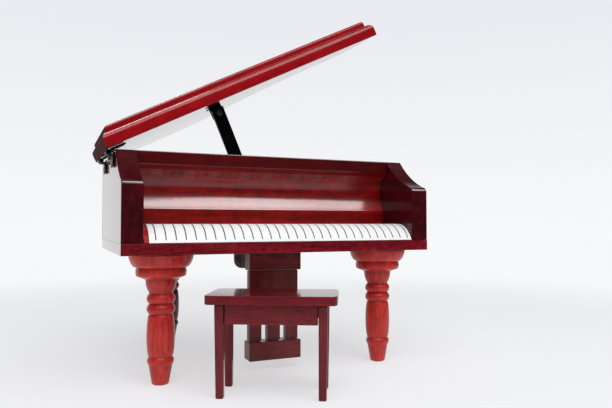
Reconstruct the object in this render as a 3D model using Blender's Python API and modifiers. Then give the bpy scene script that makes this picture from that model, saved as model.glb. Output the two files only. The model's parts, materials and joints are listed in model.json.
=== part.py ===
# Miniature grand piano with a wind-up musical movement inside, and its bench.
# Sizes are in metres. X runs along the keyboard, Y from the keys to the tail, Z up.
# While it is modelled, X = 0 is the middle of the case, Y = 0 its front and Z = 0 the floor.

import math

import bmesh
import bpy
from mathutils import Matrix, Vector

MM = 0.001
FIT_GAP = 0.3 * MM  # between pieces that rest on or beside each other
RUN_GAP = 0.06 * MM  # radial clearance of a pin or arbor in its hole
FACE_STEP = 0.1 * MM  # keeps the faces of joined solids out of one plane
MERGE = 0.002 * MM

# Case
CASE_WIDTH = 165.0 * MM
CASE_DEPTH = 46.0 * MM  # height of the side walls above the bottom board
LEG_HEIGHT = 63.5 * MM
BOARD_THICKNESS = 5.5 * MM
CHEEK_THICKNESS = 10.0 * MM
RIM_THICKNESS = 5.0 * MM
RIM_SQUARE_END = 1.0 * MM  # straight run of the rim at both ends, before it bends
LEFT_SIDE_LENGTH = 100.0 * MM
RIGHT_SIDE_LENGTH = 47.0 * MM
TAIL_RADIUS = 45.0 * MM
SHOULDER_RADIUS = 18.0 * MM
WAIST_RADIUS = 75.0 * MM
ARM_HEIGHT = 29.6 * MM  # top of the arm's front end above the bottom board
ARM_NOSE_RADIUS = 3.0 * MM
ARM_SCOOP = 1.8 * MM  # how far the arm's scoop is hollowed out below its two ends
EDGE_ROUND = 0.4 * MM

# Keyboard and the coved board behind it
RAIL_FRONT = 27.0 * MM
RAIL_DEPTH = 12.5 * MM
RAIL_FACE = 6.8 * MM
COVE_LIP = 3.9 * MM  # how far the lower end of the cove stands behind the rail's face
COVE_LOW = 16.9 * MM  # lower end of the cove above the bottom board
COVE_DEPTH = 5.8 * MM  # how far the cove is hollowed out behind its two edges
KEY_HEIGHT = 9.0 * MM
KEY_ROUND_DEPTH = 13.4 * MM
KEY_CARD_THICKNESS = 0.5 * MM
KEY_CARD_LEFT_MARGIN = 2.6 * MM
KEY_CARD_SIDE_GAP = 0.4 * MM

# Turned legs
LEG_SIDE_INSET = 21.3 * MM  # from the case's side to the middle of a front leg
FRONT_LEG_SETBACK = 19.0 * MM
REAR_LEG_TAIL_DISTANCE = 18.5 * MM
LEG_CAP_RADIUS = 15.7 * MM
LEG_CAP_HEIGHT = 6.4 * MM
LEG_COLLAR_RADIUS = 12.3 * MM
LEG_COLLAR_HEIGHT = 4.1 * MM
LEG_COLLAR_GROOVE = 0.4 * MM
LEG_NECK_RADIUS = 7.4 * MM
LEG_NECK_FLARE = 1.8 * MM  # height of the slope between the collar and the neck
LEG_NECK_TAPER = 0.6 * MM
LEG_NECK_FOOT = 2.5 * MM  # height of the slope between the neck and the rings
LEG_RING_RADIUS = 6.9 * MM
LEG_RING_HEIGHT = 5.0 * MM
LEG_RINGS_RISE = 11.9 * MM  # top of the rings above the middle of the turned part
LEG_GROOVE_RADIUS = 5.6 * MM
LEG_VASE_RADIUS = 6.8 * MM
LEG_ANKLE_RADIUS = 5.7 * MM
LEG_ANKLE_RING_RADIUS = 6.5 * MM
LEG_ANKLE_RING_HEIGHT = 4.0 * MM
LEG_FOOT_HEIGHT = 9.5 * MM
LEG_FOOT_RADIUS = 4.2 * MM
LEG_FOOT_CHAMFER = 0.9 * MM
LEG_DOWEL_RADIUS = 3.0 * MM
LEG_DOWEL_LENGTH = 3.5 * MM

# Lyre under the keyboard
LYRE_ASIDE = 0.45 * MM  # its middle, from the middle of the case
LYRE_SETBACK = 25.6 * MM  # front of its upright board
LYRE_WIDTH = 27.9 * MM
LYRE_THICKNESS = 4.5 * MM
LYRE_BLOCK_OVERHANG = 0.8 * MM
LYRE_BLOCK_FRONT = 2.8 * MM  # how far both blocks stand in front of the upright
LYRE_TOP_BACK = 1.5 * MM  # how far the top block stands behind the upright
LYRE_TOP_HEIGHT = 10.2 * MM
LYRE_FOOT_HEIGHT = 9.9 * MM
LYRE_FOOT_DEPTH = 9.5 * MM
LYRE_GROUND_GAP = 5.1 * MM
LYRE_SLOT_WIDTH = 3.5 * MM
LYRE_BAR_WIDTH = 7.15 * MM
LYRE_SLOT_HEIGHT = 21.0 * MM

# Lid
LID_OPEN_ANGLE = 26.5
LID_OVERHANG = 1.5 * MM
LID_HINGE_SIDE_REACH = 1.5 * MM  # how much further the lid hangs over on its hinge side
LID_BAND = 5.8 * MM  # the flat band of the lid's edge
LID_LEDGE = 0.9 * MM  # from the band's face in to the cove
LID_COVE_RADIUS = 2.2 * MM
LID_PANEL_FACE = 1.0 * MM
LID_SHOULDER = (5.4 * MM, 1.8 * MM)  # width and height of the rounded rise to the flat top
LID_SHOULDER_RISE = 0.55 * MM
LID_EDGE_ROUND = 0.4 * MM

# Butt hinges of the lid
HINGE_REACH = 3.1 * MM  # from the case's side to the pin's centre
FRONT_HINGE_SETBACK = 34.0 * MM
REAR_HINGE_INSET = 23.0 * MM  # from the rear end of the left side
HINGE_LENGTH = 10.0 * MM
HINGE_KNUCKLE_RADIUS = 1.3 * MM
HINGE_PIN_RADIUS = 0.6 * MM
HINGE_LEAF_THICKNESS = 0.8 * MM
HINGE_LEAF_HEIGHT = 7.0 * MM
HINGE_LEAF_LENGTH = 9.5 * MM

# Lid prop
PROP_ALONG_LID = 64.4 * MM
PROP_RAIL_DISTANCE = 2.4 * MM  # from the rail's back to the middle of the bar
PROP_PIVOT_DROP = 5.0 * MM  # pivot below the underside of the lid
PROP_WIDTH = 7.3 * MM
PROP_THICKNESS = 1.8 * MM
PROP_HEAD_REACH = 3.4 * MM  # the bar's square end, beyond its pivot
PROP_HEAD_ROUND = 0.8 * MM
PROP_LEAN = 22.7  # degrees from upright
PROP_PIN_RADIUS = 0.85 * MM
PROP_PIN_HEAD = 0.6 * MM
PROP_PIN_END = 0.4 * MM
PROP_EAR_RADIUS = 3.2 * MM
PROP_EAR_THICKNESS = 1.2 * MM
PROP_BASE_THICKNESS = 0.8 * MM
PROP_BASE_DEPTH = 6.0 * MM
PROP_PAD_HEIGHT = 1.5 * MM
PROP_PAD_LENGTH = 12.0 * MM
PROP_PAD_MARGIN = 1.0 * MM

# Musical movement: plate, spring barrel and drive
MOVEMENT_INSET = 82.5 * MM  # winding arbor, from the left side of the case
MOVEMENT_SETBACK = 60.0 * MM  # winding arbor, from the front of the case
PLATE_THICKNESS = 2.5 * MM
PLATE_MARGIN = 1.3 * MM  # how far the plate reaches beyond what stands on it
POST_THICKNESS = 1.6 * MM
POST_HALF_WIDTH = 4.0 * MM
POST_TOP_RADIUS = 3.2 * MM
POST_CLEARANCE = 1.0 * MM  # from the spring barrel to the right post
GOVERNOR_POST_RADIUS = 2.4 * MM
GOVERNOR_POST_FRONT = 3.0 * MM  # the left post's front edge, before the governor's arbor
BARREL_RADIUS = 11.0 * MM
BARREL_HEIGHT = 7.5 * MM
BARREL_WALL = 0.8 * MM
BARREL_CHAMFER = 0.6 * MM
ARBOR_RADIUS = 1.6 * MM
ARBOR_STUB = 1.0 * MM  # the winding arbor above the crown wheel
SPRING_TURNS = 6
SPRING_THICKNESS = 0.35 * MM
SPRING_HEIGHT = 5.0 * MM
CROWN_TEETH = 24
CROWN_MODULE = 0.75 * MM
CROWN_DISC_THICKNESS = 1.3 * MM
CROWN_FACE_WIDTH = 1.5 * MM
CROWN_TOOTH_SHARE = 0.50  # a tooth's root width, of the pitch
CROWN_TIP_SHARE = 0.45  # its tip width, of its root width
DRIVE_PINION_TEETH = 12

# Musical movement: cylinder and comb
CYLINDER_RADIUS = 6.5 * MM
CYLINDER_MARGIN = 0.22 * MM  # the cylinder beyond each side of the comb
CYLINDER_ARBOR_RADIUS = 1.0 * MM
CYLINDER_ARBOR_STUB = 0.7 * MM  # the arbor beyond the drive pinion
CYLINDER_WHEEL_TEETH = 32
TRAIN_MODULE = 0.45 * MM
WHEEL_THICKNESS = 1.2 * MM
COMB_TEETH = 18
COMB_PITCH = 0.92 * MM
COMB_SLIT = 0.25 * MM
COMB_TOOTH_LENGTH = 10.0 * MM
COMB_BASE_LENGTH = 6.5 * MM
COMB_THICKNESS = 1.0 * MM
PIN_CLEARANCE = 0.7 * MM  # from the cylinder's wall to the comb's tips, room for the pins

# Musical movement: governor
GOVERNOR_PINION_TEETH = 8
GOVERNOR_ARBOR_RADIUS = 0.6 * MM
WORM_WHEEL_TEETH = 14
WORM_WHEEL_THICKNESS = 0.8 * MM
WORM_TOOTH_THINNING = 0.7
WORM_MODULE = 0.6 * MM
WORM_PITCH_RADIUS = 1.5 * MM
WORM_CORE_RADIUS = 0.95 * MM
WORM_SHOULDER = 0.4 * MM  # the worm's core beyond each end of its thread
WORM_THREAD_RADIUS = 0.42 * MM
WORM_HELIX_RADIUS = 1.3 * MM
WORM_TURNS = 4
WORM_POST_DISTANCE = 2.3 * MM  # from the left post to the worm's axis
FAN_RADIUS = 4.3 * MM
FAN_HEIGHT = 3.2 * MM
FAN_HUB_RADIUS = 1.3 * MM
FAN_BLADE_THICKNESS = 0.5 * MM
FAN_BLADE_INSET = 0.2 * MM
FAN_CLEARANCE = 0.6 * MM  # over the cylinder's wheel
FRAME_WALL = 1.2 * MM
FRAME_FAN_GAP = 0.5 * MM
FRAME_POST_GAP = 0.4 * MM
FRAME_SHELF_HALF = 3.2 * MM
FRAME_FRONT = 3.0 * MM  # the frame's front edge, before the governor's arbor
FRAME_SHOULDER = 4.0 * MM  # the frame's lower part, above the governor's arbor
BRAKE_TRAVEL = 3.0 * MM
BRAKE_ROD_RADIUS = 0.8 * MM
BRAKE_FOOT = (1.5 * MM, 0.8 * MM)  # radius and height
BRAKE_HEAD = (1.4 * MM, 1.6 * MM)
BRAKE_GUIDE_GAP = 0.5 * MM  # from the raised brake foot to the guide

# Winged winding key under the case
WINDER_SPAN = 23.5 * MM
WINDER_WING_HEIGHT = 9.6 * MM
WINDER_LOW_CORNER = 4.6 * MM
WINDER_TOP_CORNER = 1.2 * MM
WINDER_THICKNESS = 1.6 * MM
WINDER_WING_DROP = 0.9 * MM  # the wings below the top of the boss
WINDER_BOSS_RADIUS = 2.8 * MM
WINDER_BOSS_LENGTH = 9.5 * MM
WINDER_SOCKET = 6.65 * MM  # how far the arbor goes into the boss
WINDER_BOARD_GAP = 1.2 * MM

# Bench
BENCH_PLACE = (-15.9 * MM, -17.9 * MM)
BENCH_TURN = -28.0  # degrees
BENCH_HEIGHT = 46.3 * MM
BENCH_SEAT = (59.4 * MM, 30.5 * MM, 4.1 * MM)
BENCH_SEAT_CORNER = 3.0 * MM
BENCH_SEAT_ROUND = 0.9 * MM
BENCH_LEG_INSET = (6.3 * MM, 5.0 * MM)  # from the seat's edges to a leg's middle
BENCH_LEG_TOP = 4.2 * MM
BENCH_LEG_FOOT = 3.5 * MM
BENCH_LEG_ROUND = 0.45 * MM
BENCH_APRON_HEIGHT = 8.8 * MM
BENCH_APRON_THICKNESS = 2.4 * MM
BENCH_APRON_ROUND = 0.3 * MM

# Gear teeth, in modules
ADDENDUM = 0.9
DEDENDUM = 1.2

# Case, lid and prop: heights and places that follow
BOARD_TOP = LEG_HEIGHT + BOARD_THICKNESS
CASE_TOP = BOARD_TOP + CASE_DEPTH
SEAT = BOARD_TOP + FIT_GAP  # underside of what stands on the bottom board
HALF_WIDTH = CASE_WIDTH / 2
INNER_HALF = HALF_WIDTH - CHEEK_THICKNESS
RAIL_BACK = RAIL_FRONT + RAIL_DEPTH
COVE_EDGE = RAIL_FRONT + COVE_LIP
KEY_ROUND_RADIUS = (KEY_ROUND_DEPTH**2 + KEY_HEIGHT**2) / (2 * KEY_HEIGHT)
LID_BOTTOM = CASE_TOP + FIT_GAP
HINGE_X = -HALF_WIDTH - HINGE_REACH
HINGE_Z = CASE_TOP - HINGE_KNUCKLE_RADIUS
HINGE_POSITIONS = (FRONT_HINGE_SETBACK, LEFT_SIDE_LENGTH - REAR_HINGE_INSET)
PROP_Y = RAIL_BACK + PROP_RAIL_DISTANCE

# Movement: heights and places that follow, from its winding arbor
MOVEMENT_X = -HALF_WIDTH + MOVEMENT_INSET
PLATE_TOP = SEAT + PLATE_THICKNESS
BARREL_TOP = PLATE_TOP + FIT_GAP + BARREL_HEIGHT
CROWN_RADIUS = CROWN_TEETH * CROWN_MODULE / 2
CROWN_REACH = CROWN_RADIUS + CROWN_FACE_WIDTH / 2
DRIVE_PINION_RADIUS = DRIVE_PINION_TEETH * CROWN_MODULE / 2
CROWN_TOP = BARREL_TOP + FIT_GAP + CROWN_DISC_THICKNESS
CYLINDER_Z = CROWN_TOP + DEDENDUM * CROWN_MODULE + DRIVE_PINION_RADIUS
COMB_WIDTH = COMB_TEETH * COMB_PITCH
COMB_TIP = CYLINDER_RADIUS + PIN_CLEARANCE
COMB_ROOT = COMB_TIP + COMB_TOOTH_LENGTH
COMB_BACK = COMB_ROOT + COMB_BASE_LENGTH
CYLINDER_LENGTH = COMB_WIDTH + 2 * CYLINDER_MARGIN
POST_X = -(max(BARREL_RADIUS, CROWN_REACH) + POST_CLEARANCE)
CYLINDER_X = POST_X - POST_THICKNESS - 2 * FIT_GAP
COMB_LEFT = CYLINDER_X - CYLINDER_LENGTH + CYLINDER_MARGIN
CYLINDER_WHEEL_X = CYLINDER_X - CYLINDER_LENGTH - FIT_GAP
LEFT_POST_X = CYLINDER_WHEEL_X - WHEEL_THICKNESS - 2 * FIT_GAP
LEFT_POST_FACE = LEFT_POST_X - POST_THICKNESS
GOVERNOR_Y = -(CYLINDER_WHEEL_TEETH + GOVERNOR_PINION_TEETH) * TRAIN_MODULE / 2
WORM_X = LEFT_POST_FACE - WORM_POST_DISTANCE
WORM_Y = GOVERNOR_Y + WORM_WHEEL_TEETH * WORM_MODULE / 2 + WORM_PITCH_RADIUS
FRAME_X = WORM_X - FAN_RADIUS - FRAME_FAN_GAP
WHEEL_TIP = (CYLINDER_WHEEL_TEETH / 2 + ADDENDUM) * TRAIN_MODULE
FAN_BASE = CYLINDER_Z + WHEEL_TIP + FAN_CLEARANCE
FAN_TOP = FAN_BASE + FAN_HEIGHT
BRAKE_LOW = FAN_TOP + FIT_GAP + BRAKE_TRAVEL
GUIDE_BASE = BRAKE_LOW + BRAKE_FOOT[1] + BRAKE_GUIDE_GAP
PLATE_LEFT = FRAME_X - FRAME_WALL - PLATE_MARGIN
PLATE_RIGHT = BARREL_RADIUS + PLATE_MARGIN
PLATE_FRONT = min(-BARREL_RADIUS, GOVERNOR_Y - FRAME_FRONT) - PLATE_MARGIN
PLATE_BACK = COMB_BACK + FIT_GAP

# Faces per turn
LEG_STEPS = 20
ROUND_STEPS = 20
SMALL_STEPS = 12

LACQUER = ("red lacquered wood", (0.26, 0.012, 0.016), 0.16, 0.0)
CARD = ("printed white card", (0.86, 0.86, 0.83), 0.35, 0.0)
BLACK_STEEL = ("blackened steel", (0.015, 0.015, 0.017), 0.35, 0.9)
NICKEL = ("dull nickel", (0.30, 0.29, 0.28), 0.35, 1.0)
BRASS = ("brass", (0.70, 0.48, 0.18), 0.28, 1.0)
STEEL = ("polished steel", (0.58, 0.58, 0.60), 0.25, 1.0)
SPRING_STEEL = ("blued spring steel", (0.10, 0.12, 0.20), 0.30, 1.0)
ZINC = ("cast zinc", (0.48, 0.48, 0.50), 0.45, 1.0)
PLASTIC = ("white moulded plastic", (0.75, 0.75, 0.72), 0.40, 0.0)
RUBBER = ("black rubber", (0.02, 0.02, 0.02), 0.80, 0.0)


def clear_scene():
    """Remove every object of the open scene."""
    for old in list(bpy.data.objects):
        bpy.data.objects.remove(old, do_unlink=True)


clear_scene()
PARTS = bpy.data.collections.new("miniature_piano")
CUTTERS = bpy.data.collections.new("cutters")
for group in (PARTS, CUTTERS):
    bpy.context.scene.collection.children.link(group)


def material(finish):
    """The Principled material of a finish, made once."""
    name, colour, roughness, metallic = finish
    found = bpy.data.materials.get(name)
    if found:
        return found
    made = bpy.data.materials.new(name)
    made.use_nodes = True
    shader = made.node_tree.nodes["Principled BSDF"]
    shader.inputs["Base Color"].default_value = (*colour, 1.0)
    shader.inputs["Roughness"].default_value = roughness
    shader.inputs["Metallic"].default_value = metallic
    made.diffuse_color = (*colour, 1.0)
    return made


def empty(name, place, parent=None, turn=(0.0, 0.0, 0.0)):
    """An empty that carries a moving group on its joint's axis."""
    made = bpy.data.objects.new(name, None)
    PARTS.objects.link(made)
    made.location = place
    made.rotation_euler = turn
    made.empty_display_size = 5 * MM
    made.parent = parent
    return made


def add(name, mesh, finish, parent, place=(0.0, 0.0, 0.0)):
    """A finished part: its mesh, its material and what carries it."""
    made = bpy.data.objects.new(name, mesh)
    PARTS.objects.link(made)
    mesh.materials.clear()
    mesh.materials.append(material(finish))
    made.parent = parent
    made.location = place
    return made


def tool(target, mesh, operation):
    """A helper solid, kept out of the build, that cuts or is joined to its target."""
    helper = bpy.data.objects.new(f"{target.name}_{operation.lower()}", mesh)
    CUTTERS.objects.link(helper)
    helper.hide_render = True
    helper.display_type = "WIRE"
    helper.parent = target.parent
    helper.location = target.location
    change = target.modifiers.new(operation.lower(), "BOOLEAN")
    change.operation = operation
    change.object = helper
    change.solver = "EXACT"


def cut(target, mesh):
    """Take the mesh's solid out of the target."""
    tool(target, mesh, "DIFFERENCE")


def join(target, mesh):
    """Add the mesh's solid to the target."""
    tool(target, mesh, "UNION")


def soften(target, width, segments=1, angle=40.0):
    """Round the sharp edges of a part."""
    change = target.modifiers.new("softened edges", "BEVEL")
    change.width = width
    change.segments = segments
    change.limit_method = "ANGLE"
    change.angle_limit = math.radians(angle)
    change.use_clamp_overlap = True


def to_mesh(work, name):
    """A mesh of a bmesh, with its faces pointing out and round walls smooth."""
    bmesh.ops.recalc_face_normals(work, faces=work.faces)
    mesh = bpy.data.meshes.new(name)
    work.to_mesh(mesh)
    work.free()
    mesh.shade_smooth()
    mesh.set_sharp_from_angle(angle=math.radians(35))
    return mesh


def box(low, high):
    """A box between two corners."""
    work = bmesh.new()
    bmesh.ops.create_cube(work, size=1.0)
    low, high = Vector(low), Vector(high)
    bmesh.ops.scale(work, vec=high - low, verts=work.verts)
    bmesh.ops.translate(work, vec=(low + high) / 2, verts=work.verts)
    return to_mesh(work, "box")


def rod(radius, start, axis, length, steps=SMALL_STEPS):
    """A cylinder from the point start along +X, +Y or +Z."""
    work = bmesh.new()
    bmesh.ops.create_cone(
        work, cap_ends=True, segments=steps, radius1=radius, radius2=radius, depth=length
    )
    bmesh.ops.translate(work, vec=(0.0, 0.0, length / 2), verts=work.verts)
    turns = {
        "X": Matrix.Rotation(math.radians(90), 3, "Y"),
        "Y": Matrix.Rotation(math.radians(-90), 3, "X"),
        "Z": Matrix.Identity(3),
    }
    bmesh.ops.rotate(work, cent=(0.0, 0.0, 0.0), matrix=turns[axis], verts=work.verts)
    bmesh.ops.translate(work, vec=start, verts=work.verts)
    return to_mesh(work, "rod")


def spline_object(points, closed):
    """A curve object with one straight-segment spline through the points."""
    curve = bpy.data.curves.new("guide", "CURVE")
    spline = curve.splines.new("POLY")
    spline.points.add(len(points) - 1)
    for knot, point in zip(spline.points, points):
        knot.co = (*Vector(point).to_3d(), 1.0)
    spline.use_cyclic_u = closed
    guide = bpy.data.objects.new("guide", curve)
    CUTTERS.objects.link(guide)
    return guide


def curve_mesh(guide):
    """The evaluated curve as a welded mesh; the curve goes."""
    bpy.context.view_layer.update()
    seen = guide.evaluated_get(bpy.context.evaluated_depsgraph_get())
    mesh = bpy.data.meshes.new_from_object(seen)
    work = bmesh.new()
    work.from_mesh(mesh)
    bmesh.ops.remove_doubles(work, verts=work.verts, dist=MERGE)
    bpy.data.meshes.remove(mesh)
    curve = guide.data
    bpy.data.objects.remove(guide)
    bpy.data.curves.remove(curve)
    return work


PLANES = {
    "XY": Matrix(((1, 0, 0), (0, 1, 0), (0, 0, 1))),
    "YZ": Matrix(((0, 0, 1), (1, 0, 0), (0, 1, 0))),
    "XZ": Matrix(((1, 0, 0), (0, 0, -1), (0, 1, 0))),
}


def slab(outline, plane, start, thickness):
    """A flat outline in a plane, given thickness from start towards +Z, +X or +Y."""
    guide = spline_object(outline, closed=True)
    guide.data.dimensions = "2D"
    guide.data.fill_mode = "BOTH"
    guide.data.extrude = thickness / 2
    work = curve_mesh(guide)
    middle = start + thickness / 2
    if plane == "XZ":
        middle = -middle
    bmesh.ops.translate(work, vec=(0.0, 0.0, middle), verts=work.verts)
    bmesh.ops.transform(work, matrix=PLANES[plane].to_4x4(), verts=work.verts)
    return to_mesh(work, "slab")


def ribbon(points, start, height):
    """An open upright strip along the points, for a Solidify modifier."""
    guide = spline_object(points, closed=False)
    guide.data.dimensions = "3D"
    guide.data.extrude = height / 2
    work = curve_mesh(guide)
    bmesh.ops.translate(work, vec=(0.0, 0.0, start + height / 2), verts=work.verts)
    mesh = bpy.data.meshes.new("ribbon")
    work.to_mesh(mesh)
    work.free()
    mesh.shade_smooth()
    return mesh


def thicken(target, thickness):
    """Give an open surface its wall, half of it on each side."""
    change = target.modifiers.new("wall", "SOLIDIFY")
    change.thickness = thickness
    change.offset = 0.0
    change.use_even_offset = True


def turned(name, profile, finish, parent, place, steps, closed=False):
    """A lathe piece: radius and height pairs from the top down, spun about Z."""
    work = bmesh.new()
    knots = [work.verts.new((radius, 0.0, height)) for radius, height in profile]
    for first, second in zip(knots, knots[1:]):
        work.edges.new((first, second))
    if closed:
        work.edges.new((knots[-1], knots[0]))
    mesh = bpy.data.meshes.new(name)
    work.to_mesh(mesh)
    work.free()
    made = add(name, mesh, finish, parent, place)
    lathe = made.modifiers.new("lathe", "SCREW")
    lathe.axis = "Z"
    lathe.angle = math.tau
    lathe.steps = steps
    lathe.render_steps = steps
    lathe.use_merge_vertices = True
    lathe.merge_threshold = MERGE
    lathe.use_smooth_shade = True


def arc(centre, radius, start, end, steps):
    """Points on an arc from one angle to another, in degrees, both ends included."""
    points = []
    for step in range(steps + 1):
        angle = math.radians(start + (end - start) * step / steps)
        points.append((centre[0] + radius * math.cos(angle), centre[1] + radius * math.sin(angle)))
    return points


def bulge(first, last, rise, steps):
    """Points on the arc from first to last that stands off to the left of its chord by rise."""
    first, last = Vector(first), Vector(last)
    chord = last - first
    half = chord.length / 2
    radius = (half**2 + rise**2) / (2 * rise)
    left = Vector((-chord.y, chord.x)).normalized()
    centre = (first + last) / 2 + (rise - radius) * left
    start = math.degrees(math.atan2(first.y - centre.y, first.x - centre.x))
    sweep = 2 * math.degrees(math.asin(half / radius))
    return arc(centre, radius, start, start - sweep, steps)


def joined(*runs):
    """One run of points from several, without the points that repeat at their ends."""
    points = []
    for run in runs:
        for point in run:
            if not points or (Vector(point) - Vector(points[-1])).length > MERGE:
                points.append(tuple(point))
    return points


def case_outline(inset, front, reach=0.0):
    """The case seen from above, moved in by inset, from its front left to its front right.

    The waist is the circle that touches the tail's and the shoulder's circles from outside.
    The left side and the tail grow out by reach.
    """
    tail_radius = TAIL_RADIUS + reach / 2
    tail = Vector((-HALF_WIDTH - reach + tail_radius, LEFT_SIDE_LENGTH))
    shoulder = Vector((HALF_WIDTH - SHOULDER_RADIUS, RIGHT_SIDE_LENGTH))
    gap = shoulder - tail
    tail_reach = tail_radius + WAIST_RADIUS
    shoulder_reach = SHOULDER_RADIUS + WAIST_RADIUS
    along = (tail_reach**2 - shoulder_reach**2 + gap.length**2) / (2 * gap.length)
    aside = math.sqrt(tail_reach**2 - along**2)
    ahead = gap.normalized()
    waist = tail + along * ahead + aside * Vector((-ahead.y, ahead.x))
    tail_turn = math.degrees(math.atan2(waist.y - tail.y, waist.x - tail.x))
    shoulder_turn = math.degrees(math.atan2(waist.y - shoulder.y, waist.x - shoulder.x))
    return joined(
        [(-HALF_WIDTH - reach + inset, front)],
        arc(tail, tail_radius - inset, 180, tail_turn, 18),
        arc(waist, WAIST_RADIUS + inset, tail_turn + 180, shoulder_turn + 180, 8),
        arc(shoulder, SHOULDER_RADIUS - inset, shoulder_turn, 0, 7),
        [(HALF_WIDTH - inset, front)],
    )


def lofted_outline(rings, front, reach):
    """A solid whose outline moves in from level to level: pairs of inset and height."""
    work = bmesh.new()
    loops = []
    for inset, height in rings:
        points = case_outline(inset, front + inset, reach)
        loops.append([work.verts.new((x, y, height)) for x, y in points])
    count = len(loops[0])
    for lower, upper in zip(loops, loops[1:]):
        for index in range(count):
            after = (index + 1) % count
            work.faces.new((lower[index], lower[after], upper[after], upper[index]))
    work.faces.new(loops[0])
    work.faces.new(loops[-1])
    return to_mesh(work, "lofted")


def leg_places():
    """Where the legs stand, and the names of their nodes."""
    spread = HALF_WIDTH - LEG_SIDE_INSET
    tail = LEFT_SIDE_LENGTH + TAIL_RADIUS - REAR_LEG_TAIL_DISTANCE
    return (
        ("front_left_leg", (-spread, FRONT_LEG_SETBACK)),
        ("front_right_leg", (spread, FRONT_LEG_SETBACK)),
        ("rear_leg", (-HALF_WIDTH + TAIL_RADIUS, tail)),
    )


def build_bottom_board(frame):
    """The bottom board, with blind holes for the legs and a hole for the winding arbor."""
    outline = case_outline(0.0, 0.0)
    board = add("bottom_board", slab(outline, "XY", LEG_HEIGHT, BOARD_THICKNESS), LACQUER, frame)
    hole_radius = LEG_DOWEL_RADIUS + FIT_GAP
    hole_depth = LEG_DOWEL_LENGTH + FIT_GAP
    for _, (x, y) in leg_places():
        start = (x, y, LEG_HEIGHT - hole_depth)
        cut(board, rod(hole_radius, start, "Z", 2 * hole_depth, ROUND_STEPS))
    start = (MOVEMENT_X, MOVEMENT_SETBACK, LEG_HEIGHT - BOARD_THICKNESS)
    cut(board, rod(2 * ARBOR_RADIUS, start, "Z", 3 * BOARD_THICKNESS, ROUND_STEPS))


def side_profile(length):
    """A side board in the YZ plane: the arm in front, its scoop, then the full height."""
    nose_top = BOARD_TOP + ARM_HEIGHT
    nose = (ARM_NOSE_RADIUS, nose_top - ARM_NOSE_RADIUS)
    scoop = bulge((RAIL_FRONT, CASE_TOP), (ARM_NOSE_RADIUS, nose_top), ARM_SCOOP, 8)
    return joined(
        [(0.0, SEAT)],
        arc(nose, ARM_NOSE_RADIUS, 180, 90, 5),
        reversed(scoop),
        [(length, CASE_TOP), (length, SEAT)],
    )


def build_sides(frame):
    """Both side boards; the left one has mortises for the lid's hinge leaves."""
    mesh = slab(side_profile(LEFT_SIDE_LENGTH), "YZ", -HALF_WIDTH, CHEEK_THICKNESS)
    left = add("left_side_board", mesh, LACQUER, frame)
    depth = HINGE_LEAF_THICKNESS + 2 * FIT_GAP
    for middle in HINGE_POSITIONS:
        half = HINGE_LENGTH / 2 + FIT_GAP
        low = (-HALF_WIDTH - MM, middle - half, CASE_TOP - depth)
        high = (HINGE_X + HINGE_LEAF_LENGTH + FIT_GAP, middle + half, CASE_TOP + MM)
        cut(left, box(low, high))
    soften(left, EDGE_ROUND)
    mesh = slab(side_profile(RIGHT_SIDE_LENGTH), "YZ", INNER_HALF, CHEEK_THICKNESS)
    soften(add("right_side_board", mesh, LACQUER, frame), EDGE_ROUND)


def build_rim(frame):
    """The bent rim from the end of the left side round the tail to the right side."""
    path = case_outline(RIM_THICKNESS / 2, 0.0)[1:-1]
    ends = []
    for x, y in (path[0], path[-1]):
        ends.append([(x, y + FIT_GAP), (x, y + FIT_GAP + RIM_SQUARE_END)])
    path = ends[0] + path[1:-1] + ends[1][::-1]
    rim = add("bent_rim", ribbon(path, SEAT, CASE_DEPTH - FIT_GAP), LACQUER, frame)
    thicken(rim, RIM_THICKNESS)


def build_fallboard(frame):
    """The coved board behind the keys, with the rail along its top."""
    rail_edge = (RAIL_FRONT, CASE_TOP - RAIL_FACE)
    lip = (COVE_EDGE, BOARD_TOP + COVE_LOW)
    profile = joined(
        [(RAIL_BACK, SEAT), (RAIL_BACK, CASE_TOP), (RAIL_FRONT, CASE_TOP)],
        bulge(rail_edge, lip, COVE_DEPTH, 12),
        [(COVE_EDGE, SEAT)],
    )
    width = 2 * (INNER_HALF - FIT_GAP)
    add("coved_fallboard", slab(profile, "YZ", -width / 2, width), LACQUER, frame)


def key_profile(inset):
    """The rounded front and flat top of the keyboard, moved in by inset, front to back."""
    radius = KEY_ROUND_RADIUS - inset
    centre = (KEY_ROUND_DEPTH, BOARD_TOP + KEY_HEIGHT - KEY_ROUND_RADIUS)
    low_turn = 180 - math.degrees(math.asin((SEAT - centre[1]) / radius))
    return arc(centre, radius, low_turn, 90, 8)


def build_keyboard(frame):
    """The wooden key block and the printed card that is glued over it."""
    back = COVE_EDGE - FIT_GAP
    front = key_profile(KEY_CARD_THICKNESS + FIT_GAP)
    block = joined(front, [(back, front[-1][1]), (back, SEAT)])
    width = 2 * (INNER_HALF - FIT_GAP)
    add("key_block", slab(block, "YZ", -width / 2, width), LACQUER, frame)
    outer = key_profile(0.0)
    inner = key_profile(KEY_CARD_THICKNESS)
    card = joined(
        outer,
        [(back, outer[-1][1]), (back, inner[-1][1])],
        reversed(inner),
    )
    left = -INNER_HALF + KEY_CARD_LEFT_MARGIN
    right = INNER_HALF - KEY_CARD_SIDE_GAP
    add("keyboard_card", slab(card, "YZ", left, right - left), CARD, frame)


def bead(groove, crest, top, height, steps=4, fullness=1.0):
    """A round moulding between two grooves, as radius and height pairs going down."""
    points = []
    for step in range(steps + 1):
        swell = math.sin(math.pi * step / steps) if 0 < step < steps else 0.0
        radius = groove + (crest - groove) * swell**fullness
        points.append((radius, top - height * step / steps))
    return points


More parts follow.
